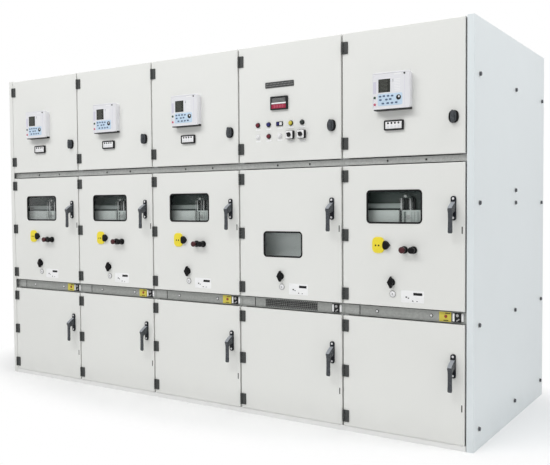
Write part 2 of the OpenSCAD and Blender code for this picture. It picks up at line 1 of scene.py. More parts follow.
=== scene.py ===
import math
import bpy
import numpy as np
from mathutils import Matrix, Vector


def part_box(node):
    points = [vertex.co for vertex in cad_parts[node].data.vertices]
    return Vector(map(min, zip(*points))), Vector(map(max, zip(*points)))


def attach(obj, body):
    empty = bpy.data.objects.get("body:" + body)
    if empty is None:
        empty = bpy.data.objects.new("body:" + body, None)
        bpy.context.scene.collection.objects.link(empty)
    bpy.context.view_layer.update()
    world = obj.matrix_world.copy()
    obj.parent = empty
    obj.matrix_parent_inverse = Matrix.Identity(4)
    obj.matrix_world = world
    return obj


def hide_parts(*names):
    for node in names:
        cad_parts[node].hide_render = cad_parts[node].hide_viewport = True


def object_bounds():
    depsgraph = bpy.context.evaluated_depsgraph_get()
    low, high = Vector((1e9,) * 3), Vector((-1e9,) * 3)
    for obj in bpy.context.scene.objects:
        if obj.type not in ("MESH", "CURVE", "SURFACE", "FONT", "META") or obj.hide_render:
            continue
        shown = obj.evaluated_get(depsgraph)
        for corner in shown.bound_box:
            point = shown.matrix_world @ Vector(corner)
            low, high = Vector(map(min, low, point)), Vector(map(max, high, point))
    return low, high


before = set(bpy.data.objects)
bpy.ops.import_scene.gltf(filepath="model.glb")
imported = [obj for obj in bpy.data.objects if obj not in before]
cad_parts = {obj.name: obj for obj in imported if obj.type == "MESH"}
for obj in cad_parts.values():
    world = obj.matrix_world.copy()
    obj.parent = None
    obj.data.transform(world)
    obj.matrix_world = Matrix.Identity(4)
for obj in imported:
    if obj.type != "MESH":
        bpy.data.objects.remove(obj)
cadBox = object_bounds()
print("frame loaded:", len(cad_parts), "nodes")

mm = 0.001
bays = (1, 2, 3, 4, 5)
meteringBay = 4
breakerBays = tuple(b for b in bays if b != meteringBay)
doorKinds = ("control", "breaker", "cable")
jointGap = 10 * mm  # between neighbouring doors
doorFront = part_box("control_door_1")[0][1]
doorFoot = {kind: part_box(f"{kind}_door_1")[0][2] for kind in doorKinds}


def bayLeft(b):  # joint line on the left of a bay
    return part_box(f"control_door_{b}")[0][0] - jointGap / 2


def bayRight(b):
    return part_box(f"control_door_{b}")[1][0] + jointGap / 2


def onDoor(b, kind, x, up, out=0):  # point in mm from the bay's left line, the door's foot and its front
    return np.array((bayLeft(b) + x * mm, doorFront - out * mm, doorFoot[kind] + up * mm))


# Node helpers

def addNode(tree, kind, **values):  # shader node with plain values on its inputs
    node = tree.nodes.new("ShaderNode" + kind)
    for label, value in values.items():
        node.inputs[label].default_value = value
    return node


def mathNode(tree, operation, *values):  # each value is a number or a socket
    node = addNode(tree, "Math")
    node.operation = operation
    for value, socket in zip(values, node.inputs):
        if isinstance(value, (int, float)):
            socket.default_value = value
        else:
            tree.links.new(value, socket)
    return node.outputs[0]


def vectorNode(tree, operation, vector):
    node = addNode(tree, "VectorMath")
    node.operation = operation
    tree.links.new(vector, node.inputs[0])
    return node


def smoothStep(tree, value, start, end):  # eases from 0 at start to 1 at end
    node = addNode(tree, "MapRange", **{"From Min": start, "From Max": end})
    node.interpolation_type = "SMOOTHSTEP"
    tree.links.new(value, node.inputs["Value"])
    return node.outputs[0]


def objectCoords(tree):
    return addNode(tree, "TexCoord").outputs["Object"]


def whiteForCamera(tree):  # 1 where camera, mirror or glass rays look, 0 for light
    path = addNode(tree, "LightPath")
    seen = path.outputs["Is Camera Ray"]
    for kind in ("Is Glossy Ray", "Is Transmission Ray"):
        seen = mathNode(tree, "MAXIMUM", seen, path.outputs[kind])
    return seen


def mixInto(tree, factor, plain, seen, outKind):  # plain shader for light, the other where it is looked at
    mix, out = addNode(tree, "MixShader"), addNode(tree, outKind)
    tree.links.new(factor, mix.inputs["Fac"])
    tree.links.new(plain.outputs[0], mix.inputs[1])
    tree.links.new(seen.outputs[0], mix.inputs[2])
    tree.links.new(mix.outputs[0], out.inputs["Surface"])


def emptyTree(owner):
    owner.use_nodes = True
    owner.node_tree.nodes.clear()
    return owner.node_tree


# Camera and light

cameraView = {"place": (2.998, -4.330, 1.262), "yaw": 33.17, "pitch": -2.13, "roll": -0.39,
              "focalPixels": 747.3, "imageWidth": 550, "sensor": 36.0, "farthest": 200}


def axesMatrix(right, up, back, place):
    return Matrix([[right[i], up[i], back[i], place[i]] for i in range(3)] + [[0, 0, 0, 1]])


def addCamera(s):
    yaw, pitch, roll = (math.radians(s[k]) for k in ("yaw", "pitch", "roll"))
    ahead = np.array((-math.sin(yaw) * math.cos(pitch), math.cos(yaw) * math.cos(pitch), math.sin(pitch)))
    level = np.array((math.cos(yaw), math.sin(yaw), 0.0))
    upright = np.cross(level, ahead)
    right = math.cos(roll) * level + math.sin(roll) * upright
    up = math.cos(roll) * upright - math.sin(roll) * level
    data = bpy.data.cameras.new("photoCamera")
    data.sensor_fit = "HORIZONTAL"
    data.sensor_width = s["sensor"]
    data.lens = s["focalPixels"] / s["imageWidth"] * s["sensor"]
    data.clip_end = s["farthest"]
    cam = bpy.data.objects.new("photoCamera", data)
    cam.matrix_world = axesMatrix(right, up, -ahead, s["place"])
    bpy.context.collection.objects.link(cam)
    bpy.context.scene.camera = cam


lightRig = {"worldFill": 0.385, "fillColour": (0.97, 0.985, 1.0, 1), "lamps": (
    {"name": "keyLamp", "place": (-0.9, -5.0, 5.8), "aim": (-0.6, -0.6, 1.0), "size": (6.5, 1.6),
     "watts": 214},
    {"name": "sideLamp", "place": (5.0, -0.6, 5.9), "aim": (1.8, 0.1, 1.6), "size": (3.5, 3.0), "watts": 150},
    {"name": "topLamp", "place": (0.0, 0.2, 6.5), "aim": (0.0, 0.0, 0.0), "size": (5.0, 3.0), "watts": 40})}


def addLamp(s):
    data = bpy.data.lights.new(s["name"], "AREA")
    data.shape = "RECTANGLE"
    data.size, data.size_y = s["size"]
    data.energy = s["watts"]
    lamp = bpy.data.objects.new(s["name"], data)
    back = np.array(s["place"], float) - np.array(s["aim"], float)
    back /= np.linalg.norm(back)
    overhead = abs(back[2]) > 0.99
    side = np.cross((0.0, 1.0, 0.0) if overhead else (0.0, 0.0, 1.0), back)
    side /= np.linalg.norm(side)
    lamp.matrix_world = axesMatrix(side, np.cross(back, side), back, s["place"])
    bpy.context.collection.objects.link(lamp)


def addWorld(s):
    world = bpy.data.worlds.new("studio")
    bpy.context.scene.world = world
    tree = emptyTree(world)
    fill = addNode(tree, "Background", Strength=s["worldFill"], Color=s["fillColour"])
    white = addNode(tree, "Background", Color=(1, 1, 1, 1))
    mixInto(tree, whiteForCamera(tree), fill, white, "OutputWorld")


floorSettings = {"halfSize": 40.0, "colour": (0.95, 0.95, 0.95, 1), "margin": 0.25, "fadeFrom": 0.95,
                 "fadeTo": 1.32}


def addFloor(s):  # plain near the row, fading to white further out
    h = s["halfSize"]
    mesh = bpy.data.meshes.new("studioFloor")
    mesh.from_pydata([(-h, -h, 0), (h, -h, 0), (h, h, 0), (-h, h, 0)], [], [(0, 1, 2, 3)])
    floor = bpy.data.objects.new("studioFloor", mesh)
    bpy.context.collection.objects.link(floor)
    mat = bpy.data.materials.new("studioFloor")
    tree = emptyTree(mat)
    plain = addNode(tree, "BsdfDiffuse", Color=s["colour"])
    reach = vectorNode(tree, "DIVIDE", objectCoords(tree))  # in half widths and half depths of the row
    reach.inputs[1].default_value = (cadBox[1][0] + s["margin"], cadBox[1][1] + s["margin"], 1)
    length = vectorNode(tree, "LENGTH", reach.outputs[0])
    fade = smoothStep(tree, length.outputs["Value"], s["fadeFrom"], s["fadeTo"])
    factor = mathNode(tree, "MULTIPLY", fade, whiteForCamera(tree))
    mixInto(tree, factor, plain, addNode(tree, "Emission"), "OutputMaterial")
    mesh.materials.append(mat)


bpy.context.scene.view_settings.view_transform = "Standard"
addCamera(cameraView)
addWorld(lightRig)
for lampSettings in lightRig["lamps"]:
    addLamp(lampSettings)
addFloor(floorSettings)
print("camera, light and floor ready")


# Shared surface effects

def newGroup(name, inputs, outputs):
    group = bpy.data.node_groups.new(name, "ShaderNodeTree")
    for label, kind, value in inputs:
        socket = group.interface.new_socket(label, in_out="INPUT", socket_type="NodeSocket" + kind)
        socket.default_value = value
    for label, kind in outputs:
        group.interface.new_socket(label, in_out="OUTPUT", socket_type="NodeSocket" + kind)
    return group, group.nodes.new("NodeGroupInput"), group.nodes.new("NodeGroupOutput")


def noiseNode(tree, scale, detail, stretch=None):
    noise = addNode(tree, "TexNoise", Detail=detail)
    vector = objectCoords(tree)
    if stretch:
        mapping = addNode(tree, "Mapping", Scale=stretch)
        tree.links.new(vector, mapping.inputs["Vector"])
        vector = mapping.outputs[0]
    tree.links.new(vector, noise.inputs["Vector"])
    if isinstance(scale, (int, float)):
        noise.inputs["Scale"].default_value = scale
    else:
        tree.links.new(scale, noise.inputs["Scale"])
    return noise.outputs["Fac"]


def scaledColour(tree, colour, factor):  # colour times a factor
    node = vectorNode(tree, "SCALE", colour)
    tree.links.new(factor, node.inputs["Scale"])
    return node.outputs[0]


drift = {"patches": 2.3, "grimeTop": 0.22, "grimePatches": 9.0}


# Slow drift of tone over a sheet, darker in patches towards the floor
def makeToneDrift(s):
    group, first, last = newGroup(
        "toneDrift",
        (("Colour", "Color", (0.8, 0.8, 0.8, 1)), ("Amount", "Float", 0.05),
         ("Grime", "Float", 0.1)),
        (("Colour", "Color"),))
    slow = mathNode(group, "SUBTRACT", noiseNode(group, s["patches"], 2), 0.5)
    tone = mathNode(group, "MULTIPLY", slow, first.outputs["Amount"])
    split = addNode(group, "SeparateXYZ")
    group.links.new(objectCoords(group), split.inputs[0])
    low = smoothStep(group, split.outputs["Z"], s["grimeTop"], 0.0)
    patchy = mathNode(group, "MULTIPLY", low, noiseNode(group, s["grimePatches"], 4))
    grime = mathNode(group, "MULTIPLY", patchy, first.outputs["Grime"])
    factor = mathNode(group, "SUBTRACT", mathNode(group, "ADD", tone, 1.0), grime)
    group.links.new(scaledColour(group, first.outputs["Colour"], factor), last.inputs["Colour"])
    return group


# Fine relief of a sprayed or moulded skin, as a height in 0 to 1
def makeSkinRelief():
    group, first, last = newGroup("skinRelief", (("Scale", "Float", 400.0),),
                                  (("Height", "Float"),))
    group.links.new(noiseNode(group, first.outputs["Scale"], 1.5), last.inputs["Height"])
    return group


zinc = {"streaks": (4.0, 40.0, 320.0), "streakShare": 1.6, "roughness": 0.42, "roughSpread": 0.14,
        "flakes": 110.0}


# Zinc flakes with their own brightness, and rolling marks along the sheet
def makeZincFlakes(s):
    group, first, last = newGroup(
        "zincFlakes",
        (("Scale", "Float", 90.0), ("Contrast", "Float", 0.3)),
        (("Brightness", "Float"), ("Roughness", "Float")))
    cells = addNode(group, "TexVoronoi")
    group.links.new(objectCoords(group), cells.inputs["Vector"])
    group.links.new(first.outputs["Scale"], cells.inputs["Scale"])
    grey = addNode(group, "SeparateColor")
    group.links.new(cells.outputs["Color"], grey.inputs[0])
    flake = mathNode(group, "SUBTRACT", grey.outputs[0], 0.5)
    streak = mathNode(group, "SUBTRACT", noiseNode(group, 1.0, 3, s["streaks"]), 0.5)
    blend = mathNode(group, "ADD", flake, mathNode(group, "MULTIPLY", streak, s["streakShare"]))
    bright = mathNode(group, "MULTIPLY_ADD", blend, first.outputs["Contrast"], 1.0)
    rough = mathNode(group, "MULTIPLY_ADD", flake, s["roughSpread"], s["roughness"])
    group.links.new(bright, last.inputs["Brightness"])
    group.links.new(rough, last.inputs["Roughness"])
    return group


toneDrift = makeToneDrift(drift)
skinRelief = makeSkinRelief()
zincFlakes = makeZincFlakes(zinc)


def useGroup(tree, group, **values):
    node = tree.nodes.new("ShaderNodeGroup")
    node.node_tree = group
    for label, value in values.items():
        node.inputs[label].default_value = value
    return node


def startMaterial(name, roughness, metallic=0.0, sheen=0.5):
    mat = bpy.data.materials.new(name)
    tree = emptyTree(mat)
    out = addNode(tree, "OutputMaterial")
    shader = addNode(tree, "BsdfPrincipled", **{"Roughness": roughness, "Metallic": metallic,
                                                "Specular IOR Level": sheen})
    tree.links.new(shader.outputs[0], out.inputs["Surface"])
    return mat, tree, shader


def addSkin(tree, shader, colour, amount, grime, s):  # drifting tone, patchy roughness and fine relief
    tone = useGroup(tree, toneDrift, Colour=(*colour, 1), Amount=amount, Grime=grime)
    tree.links.new(tone.outputs["Colour"], shader.inputs["Base Color"])
    noise = noiseNode(tree, s["patches"], s["detail"])
    rough = mathNode(tree, "MULTIPLY_ADD", noise, s["roughSpread"], s["roughFrom"])
    tree.links.new(rough, shader.inputs["Roughness"])
    relief = useGroup(tree, skinRelief, Scale=s["reliefScale"])
    bump = addNode(tree, "Bump", Strength=s["relief"], Distance=s["reliefDeep"])
    tree.links.new(relief.outputs["Height"], bump.inputs["Height"])
    tree.links.new(bump.outputs[0], shader.inputs["Normal"])


coatSkin = {"patches": 14.0, "detail": 3, "roughSpread": 0.12, "roughFrom": 0.32, "reliefScale": 520.0,
            "relief": 0.10, "reliefDeep": 0.0004}
plasticSkin = {"patches": 60.0, "detail": 2, "roughSpread": 0.12, "reliefDeep": 0.0003}
lensLook = {"roughness": 0.22, "relief": 0.03, "scale": 300.0, "amount": 0.15, "sheen": 0.3}
lensCoat = 0.12


def powderCoat(name, colour, grime, amount=0.035):
    mat, tree, shader = startMaterial(name, 0.36)
    addSkin(tree, shader, colour, amount, grime, coatSkin)
    return mat


def moulded(name, colour, roughness, relief=0.12, scale=900.0, amount=0.06, sheen=0.5):
    mat, tree, shader = startMaterial(name, roughness, 0.0, sheen)
    roughFrom = roughness - plasticSkin["roughSpread"] / 2
    addSkin(tree, shader, colour, amount, 0.0,
            {**plasticSkin, "roughFrom": roughFrom, "reliefScale": scale, "relief": relief})
    return mat


def lens(name, colour):  # clear coloured plastic, thinly coated
    mat = moulded(name, colour, **lensLook)
    mat.node_tree.nodes["Principled BSDF"].inputs["Coat Weight"].default_value = lensCoat
    return mat


def zincSheet(name, colour, contrast, metallic):
    mat, tree, shader = startMaterial(name, 0.45, metallic)
    flakes = useGroup(tree, zincFlakes, Scale=zinc["flakes"], Contrast=contrast)
    rgb = addNode(tree, "RGB")
    rgb.outputs[0].default_value = (*colour, 1)
    shade = scaledColour(tree, rgb.outputs[0], flakes.outputs["Brightness"])
    tree.links.new(shade, shader.inputs["Base Color"])
    tree.links.new(flakes.outputs["Roughness"], shader.inputs["Roughness"])
    return mat


glassLook = {"Base Color": (0.80, 0.87, 0.84, 1), "Transmission Weight": 1.0, "IOR": 1.28,
             "Specular Tint": (0.80, 1.0, 0.94, 1), "Alpha": 0.22}


def windowGlass(name, look):
    mat, tree, shader = startMaterial(name, 0.03)
    for label, value in look.items():
        shader.inputs[label].default_value = value
    return mat


doorPaint = powderCoat("doorPaint", (0.825, 0.828, 0.798), 0.10)
# cooler copy of the door paint for the right end panel, rear covers and roof: painted light, the cool cast of
# these faces
panelPaint = powderCoat("panelPaint", (0.790, 0.838, 0.852), 0.10)
basePaint = powderCoat("basePaint", (0.90, 0.90, 0.885), 0.10, 0.06)
zincInside = zincSheet("zincInside", (0.44, 0.45, 0.46), 0.22, 0.55)
zincRail = zincSheet("zincRail", (0.335, 0.345, 0.33), 0.22, 0.35)
zincUpper = zincSheet("zincUpper", (0.45, 0.46, 0.445), 0.22, 0.35)
zincLight = zincSheet("zincLight", (0.385, 0.395, 0.38), 0.20, 0.32)
truckPaint = powderCoat("truckPaint", (0.36, 0.40, 0.39), 0.0, 0.10)
truckLight = powderCoat("truckLight", (0.54, 0.575, 0.56), 0.0, 0.06)
shieldPaint = powderCoat("shieldPaint", (0.86, 0.90, 0.89), 0.0, 0.10)
# dark green-grey; used on the screen and the arch bar behind the windows as painted shade, and on a guide
# strip
screenDark = powderCoat("screenDark", (0.045, 0.063, 0.058), 0.0, 0.25)
hingeGrey = moulded("hingeGrey", (0.052, 0.055, 0.054), 0.48, sheen=0.32)
handleGrey = moulded("handleGrey", (0.046, 0.052, 0.060), 0.27, sheen=0.45)
# paler copy of the handle plastic: painted highlight on the lever arm's slope
handlePale = moulded("handlePale", (0.29, 0.31, 0.34), 0.30, 0.06, sheen=0.6)
handleDark = moulded("handleDark", (0.014, 0.016, 0.021), 0.34, sheen=0.16)
blackPlastic = moulded("blackPlastic", (0.010, 0.010, 0.011), 0.36, sheen=0.25)
knobBlack = moulded("knobBlack", (0.006, 0.006, 0.007), 0.20, 0.05, sheen=0.13)
blackRubber = moulded("blackRubber", (0.008, 0.008, 0.009), 0.62, 0.2, sheen=0.2)
relayGrey = moulded("relayGrey", (0.80, 0.80, 0.825), 0.40)
relayFace = moulded("relayFace", (0.86, 0.86, 0.88), 0.48, 0.06)
stripLilac = moulded("stripLilac", (0.66, 0.64, 0.74), 0.48, 0.05)
# dark grey; the relay's underside uses it as painted shade
ventDark = moulded("ventDark", (0.10, 0.10, 0.10), 0.55, sheen=0.2)
keyBlue = moulded("keyBlue", (0.56, 0.70, 0.84), 0.45, 0.06)
keyDark = moulded("keyDark", (0.075, 0.12, 0.21), 0.40, 0.06)
displayDark = lens("displayDark", (0.020, 0.022, 0.017))
displayLine = moulded("displayLine", (0.085, 0.09, 0.075), 0.4, 0.0)
displayRed = lens("displayRed", (0.36, 0.022, 0.060))
digitRed = lens("digitRed", (0.62, 0.17, 0.22))
signYellow = moulded("signYellow", (0.90, 0.74, 0.035), 0.42, 0.08)
signOchre = moulded("signOchre", (0.68, 0.58, 0.075), 0.45, 0.08)
spotOrange = moulded("spotOrange", (0.30, 0.05, 0.02), 0.40, 0.08)
lensRed = lens("lensRed", (0.135, 0.006, 0.018))
capRed = lens("capRed", (0.060, 0.005, 0.009))
lensBlue = lens("lensBlue", (0.018, 0.018, 0.13))
lensYellow = lens("lensYellow", (0.60, 0.52, 0.06))
lensBlack = lens("lensBlack", (0.020, 0.028, 0.025))
lensGreen = lens("lensGreen", (0.008, 0.055, 0.020))
lensPink = lens("lensPink", (0.55, 0.10, 0.17))
lensWhite = lens("lensWhite", (0.84, 0.84, 0.84))
whitePlate = moulded("whitePlate", (0.93, 0.93, 0.93), 0.50, 0.04)
greyMark = moulded("greyMark", (0.34, 0.34, 0.33), 0.50, 0.04)
screwZinc = zincSheet("screwZinc", (0.74, 0.74, 0.75), 0.12, 0.75)
steelDull = zincSheet("steelDull", (0.42, 0.42, 0.42), 0.15, 0.6)
boltDark = moulded("boltDark", (0.075, 0.080, 0.090), 0.42, sheen=0.35)
glassPane = windowGlass("glassPane", glassLook)
print("materials ready:", len(bpy.data.materials))


# Shapes

sideAxes = {  # right, up and out directions on each side of the row
    "front": ((1, 0, 0), (0, 0, 1), (0, -1, 0)),
    "right": ((0, 1, 0), (0, 0, 1), (1, 0, 0)),
    "rear": ((-1, 0, 0), (0, 0, 1), (0, 1, 0)),
    "left": ((0, -1, 0), (0, 0, 1), (-1, 0, 0)),
    "top": ((1, 0, 0), (0, 1, 0), (0, 0, 1)),
    "under": ((1, 0, 0), (0, -1, 0), (0, 0, -1))}
smoothUpTo = math.radians(38)  # sharper edges stay crisp


# Closed outline of a rounded rectangle whose sides moved in: corner centre + radius * (cos a, sin a)
def outlineRing(w, h, r, inset, steps):
    keep = max(r - inset, 0.05 * mm)
    straight = (w / 2 - r > 1e-6, h / 2 - r > 1e-6)
    cx = max(w / 2 - inset - keep, 0.0)
    cz = max(h / 2 - inset - keep, 0.0)
    arcs = []
    for q, (sx, sz) in enumerate(((1, 1), (-1, 1), (-1, -1), (1, -1))):
        a = math.pi / 2 * (q + np.linspace(0, 1, steps + 1))
        a = a if straight[q % 2] else a[:-1]
        arcs.append(np.stack((sx * cx + keep * np.cos(a), sz * cz + keep * np.sin(a)), 1))
    return np.concatenate(arcs)


# Regular polygon of the given width across flats, moved in
def polygonRing(sides, across, inset):
    a = 2 * math.pi * (np.arange(sides) + 0.5) / sides
    return (across / 2 - inset) / math.cos(math.pi / sides) * np.stack((np.cos(a), np.sin(a)), 1)


# Quads of a grid of rings, wrapped round each ring and, if asked, from the last ring to the first
def gridQuads(rings, n, wrap):
    i, j = np.meshgrid(np.arange(rings if wrap else rings - 1), np.arange(n), indexing="ij")
    nextI, nextJ = (i + 1) % rings, (j + 1) % n
    return np.stack((i * n + j, i * n + nextJ, nextI * n + nextJ, nextI * n + j), -1).reshape(-1, 4)


def addGrid(shape, points, rings, n, finish, wrap=False):  # caps both ends unless it wraps
    faces = (gridQuads(rings, n, wrap) + shape["count"]).tolist()
    if not wrap:
        end = np.arange(n) + shape["count"]
        faces += [end[::-1].tolist(), (end + (rings - 1) * n).tolist()]
    if finish not in shape["finishes"]:
        shape["finishes"].append(finish)
    shape["points"].append(points)
    shape["faces"] += faces
    shape["slots"] += [shape["finishes"].index(finish)] * len(faces)
    shape["count"] += len(points)


# Outline carried along a profile of (moved in, stands out) pairs in mm; a loop closes the profile on itself
def addStack(shape, side, place, size, profile, finish, steps=6, turn=0.0, stretch=(1, 1), loop=False,
             sides=0):
    right, up, out = (np.array(v, float) for v in sideAxes[side])
    w, h, r = (v * mm for v in size)
    c, s = math.cos(math.radians(turn)), math.sin(math.radians(turn))
    rings = []
    for inset, reach in profile:
        ring = polygonRing(sides, w, inset * mm) if sides else outlineRing(w, h, r, inset * mm, steps)
        a = (ring[:, :1] * c - ring[:, 1:] * s) * stretch[0]
        b = (ring[:, :1] * s + ring[:, 1:] * c) * stretch[1]
        rings.append(np.asarray(place, float) + a * right + b * up + reach * mm * out)
    addGrid(shape, np.concatenate(rings), len(rings), len(rings[0]), finish, loop)


# Gives a function that puts stacks on a door's front, at mm from the point x0, up0 and out0
def placer(shape, b, kind, x0=0, up0=0, out0=0):
    def put(x, up, size, profile, finish, steps, out=0, *more, **named):
        place = onDoor(b, kind, x0 + x, up0 + up, out0 + out)
        addStack(shape, "front", place, size, profile, finish, steps, *more, **named)
    return put


# Puts rows of x, up, size, profile, finish and corner steps, then if need be standing out, turn and stretch
def addParts(put, parts):
    for part in parts:
        put(*part)


def slab(low, high):  # profile of a plain slab
    return [(0, low), (0, high)]


def plate(t, edge):  # profile of a plate with a rounded front edge
    a = np.linspace(0, math.pi / 2, 4)
    return [(0, 0)] + [(edge * (1 - math.cos(v)), t - edge + edge * math.sin(v)) for v in a]


def dome(r, low, high, rings):  # profile of a shallow cap: inset grows as the height levels off
    v = np.linspace(0, 1, rings + 1)[:-1]
    return [(r * (1 - math.sqrt(1 - t * t)), low + (high - low) * t) for t in v] + [(r * 0.97, high)]


def disc(d):
    return (d, d, d / 2)


# Curve through given points: p = 0.5 (2 b + (c - a) u + (2 a - 5 b + 4 c - d) u^2 + (3 b - a - 3 c + d) u^3)
def smoothCurve(points, per):
    k = np.array(points, float)
    k = np.concatenate(([2 * k[0] - k[1]], k, [2 * k[-1] - k[-2]]))
    a, b, c, d = (k[i:len(k) - 3 + i, None] for i in range(4))
    u = np.linspace(0, 1, per + 1)[:-1, None]
    run = 0.5 * (2 * b + (c - a) * u + (2 * a - 5 * b + 4 * c - d) * u ** 2
                 + (3 * b - a - 3 * c + d) * u ** 3)
    return np.concatenate((run.reshape(-1, k.shape[1]), k[-2:-1]))


# Superellipse: (cos a, sin a), each with its sign kept and raised to 2 / power
def superRound(a, power):
    return [np.sign(f(a)) * np.abs(f(a)) ** (2 / power) for f in (np.cos, np.sin)]


# Superellipse sections spanned between an outer and an inner curve of (back, up) points, in mm
def addLoft(shape, place, outer, inner, wide, power, finish, n=24):
    middle, span = (outer + inner) / 2, (outer - inner) / 2
    ca, sa = superRound(2 * math.pi * np.arange(n) / n, power)
    x = -wide[:, None] * ca
    y = middle[:, :1] + span[:, :1] * sa
    z = middle[:, 1:] + span[:, 1:] * sa
    points = place + mm * np.stack((x, y, z), -1)
    addGrid(shape, points.reshape(-1, 3), len(outer), n, finish)


# Rings standing out to the front, from arrays of their x, z and reach in mm
def addRings(shape, place, x, z, reach, finish):
    right, up, out = (np.array(v, float) for v in sideAxes["front"])
    points = place + mm * (x * right + z * up + reach * out)
    addGrid(shape, points.reshape(-1, 3), len(points), points.shape[1], finish)


# Oval rings (half width, half height, stands out, power) in mm, each |x / a|^p + |z / c|^p = 1
def addOval(shape, place, rings, finish, n=40):
    a, c, reach, power = np.array(rings, float).T[:, :, None, None]
    ca, sa = superRound((2 * math.pi * np.arange(n) / n)[None, :, None], power)
    addRings(shape, place, a * ca, c * sa, reach, finish)


# Drop-shaped rings (half length, half height, stands out) in mm: x = a cos t, z = 1.3 c sin t |sin(t / 2)|
def addDrop(shape, place, rings, finish, n=36):
    a, c, reach = np.array(rings, float).T[:, :, None, None]
    t = (2 * math.pi * np.arange(n) / n)[None, :, None]
    addRings(shape, place, a * np.cos(t), 1.3 * c * np.sin(t) * np.abs(np.sin(t / 2)), reach, finish)


def makePiece(name, body, slotName, build, *args, replaced=None):  # build(shape, *args) fills the shape
    shape = {"points": [], "faces": [], "slots": [], "finishes": [], "count": 0}
    build(shape, *args)
    mesh = bpy.data.meshes.new(name)
    mesh.from_pydata(np.concatenate(shape["points"]).tolist(), [], shape["faces"])
    for finish in shape["finishes"]:
        mesh.materials.append(finish)
    mesh.polygons.foreach_set("material_index", np.array(shape["slots"], np.int32))
    mesh.shade_smooth()
    mesh.set_sharp_from_angle(angle=smoothUpTo)
    mesh.update()
    piece = bpy.data.objects.new(name, mesh)
    bpy.context.collection.objects.link(piece)
    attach(piece, body)
    if replaced:
        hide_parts(replaced)


# Finishes of the carried-over nodes

nodeFinish = (
    (basePaint, ["base_frame"]),
    (panelPaint, ["right_end_panel", "rear_covers", "roof_plates"]),
    (doorPaint, ["left_end_panel"] + [f"{kind}_door_{b}" for b in bays for kind in doorKinds]),
    (glassPane, [f"breaker_door_window_{b}" for b in bays]),
    (zincInside, ["floor_plates", "bay_walls", "frame_posts", "control_partitions", "breaker_partitions"]),
    (zincUpper, ["upper_rails"]), (zincRail, ["lower_rails"]), (hingeGrey, ["hinge_brackets"]),
    (truckPaint, ["withdrawable_trucks"]), (blackPlastic, ["interlock_units"]))
for finish, nodeNames in nodeFinish:
    for nodeName in nodeNames:
        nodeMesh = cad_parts[nodeName].data
        nodeMesh.materials.clear()
        nodeMesh.materials.append(finish)
print("finishes set on", sum(len(names) for finish, names in nodeFinish), "nodes")


# Hinges, knobs and lever handles

hinge = {"height": 66, "leafFrom": 7, "leafTo": 32, "leafThick": 6, "edge": 1.0, "knuckle": 12, "soft": 0.8,
         "pinX": 7, "pinOut": 6.5, "gap": 1, "armX": 4, "armWide": 9, "screw": 9, "screwX": 22,
         "screwUp": 19.8, "screwProfile": ((0, -0.2), (0, 0.3), (1, 0.9), (3.4, 1.1)),
         "rows": {"control": (80, 2), "breaker": (55, 3), "cable": (55, 3)}}  # inset from the ends, count


def addHinge(shape, b, kind, up, s):
    wide, tall, thick, soft = s["leafTo"] - s["leafFrom"], s["height"], s["leafThick"], s["soft"]
    third = (tall - 2 * s["gap"]) / 3
    rounded = [(soft, 0), (0, soft), (0, third - soft), (soft, third)]
    put = placer(shape, b, kind, s["pinX"], up)
    put(s["leafFrom"] + wide / 2, 0, (wide, tall, 2.5), plate(thick, s["edge"]), hingeGrey, 3)
    for side in (-1, 1):
        middle = side * (third + s["gap"])
        put(s["armX"], middle, (s["armWide"], third, 0.6), plate(thick - 0.4, 0.4), hingeGrey, 2)
        low = onDoor(b, kind, s["pinX"], up + middle - third / 2, s["pinOut"])
        addStack(shape, "top", low, disc(s["knuckle"]), rounded, hingeGrey, 5)
        put(s["screwX"], side * s["screwUp"], disc(s["screw"]), s["screwProfile"], hingeGrey, 4, thick)


def hingeHeights(kind, s):  # mm above the door's foot
    low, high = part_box(f"{kind}_door_1")
    inset, count = s["rows"][kind]
    return np.linspace(inset, (high[2] - low[2]) / mm - inset, count)


knob = {"x": 636, "up": 186, "foot": ((26, 32, 0, 2.6), (26, 32, 6, 2.6), (25, 31.2, 8.2, 2.6),
                                      (22, 29, 9.2, 2.6)),
        "ridge": ((17, 29, 8.6, 2.6), (12.6, 30.4, 11.5, 2.8), (9.8, 31.4, 16, 3), (9, 32, 21, 3),
                  (8.8, 31.8, 26, 3), (7.4, 30.6, 28.8, 3), (4.4, 27.5, 30, 3), (1, 22, 30.2, 3))}


def addKnob(shape, b, s):  # oval foot with an upright finger ridge
    at = onDoor(b, "control", s["x"], s["up"])
    addOval(shape, at, s["foot"], knobBlack)
    addOval(shape, at, s["ridge"], handleGrey)


lever = {"inset": 64, "up": {"breaker": 524, "cable": 402}, "plate": (28, 124, 12), "thick": 8, "half": 12,
         "boss": (25, 56, 9), "bossUp": 8, "screw": 11.5, "screwUp": 49,
         "screwProfile": ((0, -0.3), (0, 1.2), (1, 1.8), (2.6, 1.8), (3, 0.9), (5.6, 0.9)),
         "outer": ((-6, 34), (-20, 28), (-36, 19.5), (-50, 10), (-58, 3.8), (-60.6, 0.8), (-60.6, -2.4),
                   (-57.6, -9), (-55, -20), (-54.4, -40), (-54.4, -80), (-55.4, -112), (-55, -121),
                   (-52.5, -125.5)),
         "inner": ((-6, -16), (-16, -19), (-28, -22), (-37, -25), (-41.5, -27.5), (-43.6, -30.5),
                   (-44.3, -33.5), (-44.6, -38), (-44.8, -46), (-44.8, -60), (-44.8, -85), (-45, -112),
                   (-46, -120), (-48.5, -125.5)),
         "taper": (1.0, 1.0, 1.0, 1.0, 1.0, 1.0, 0.99, 0.96, 0.94, 0.92, 0.92, 0.97, 0.93, 0.75), "power": 6,
         "curveSteps": 3, "capPoints": 6, "capHalf": 10.6, "capOuter": (-0.4, 0.7), "capInner": (1.5, -2.0)}


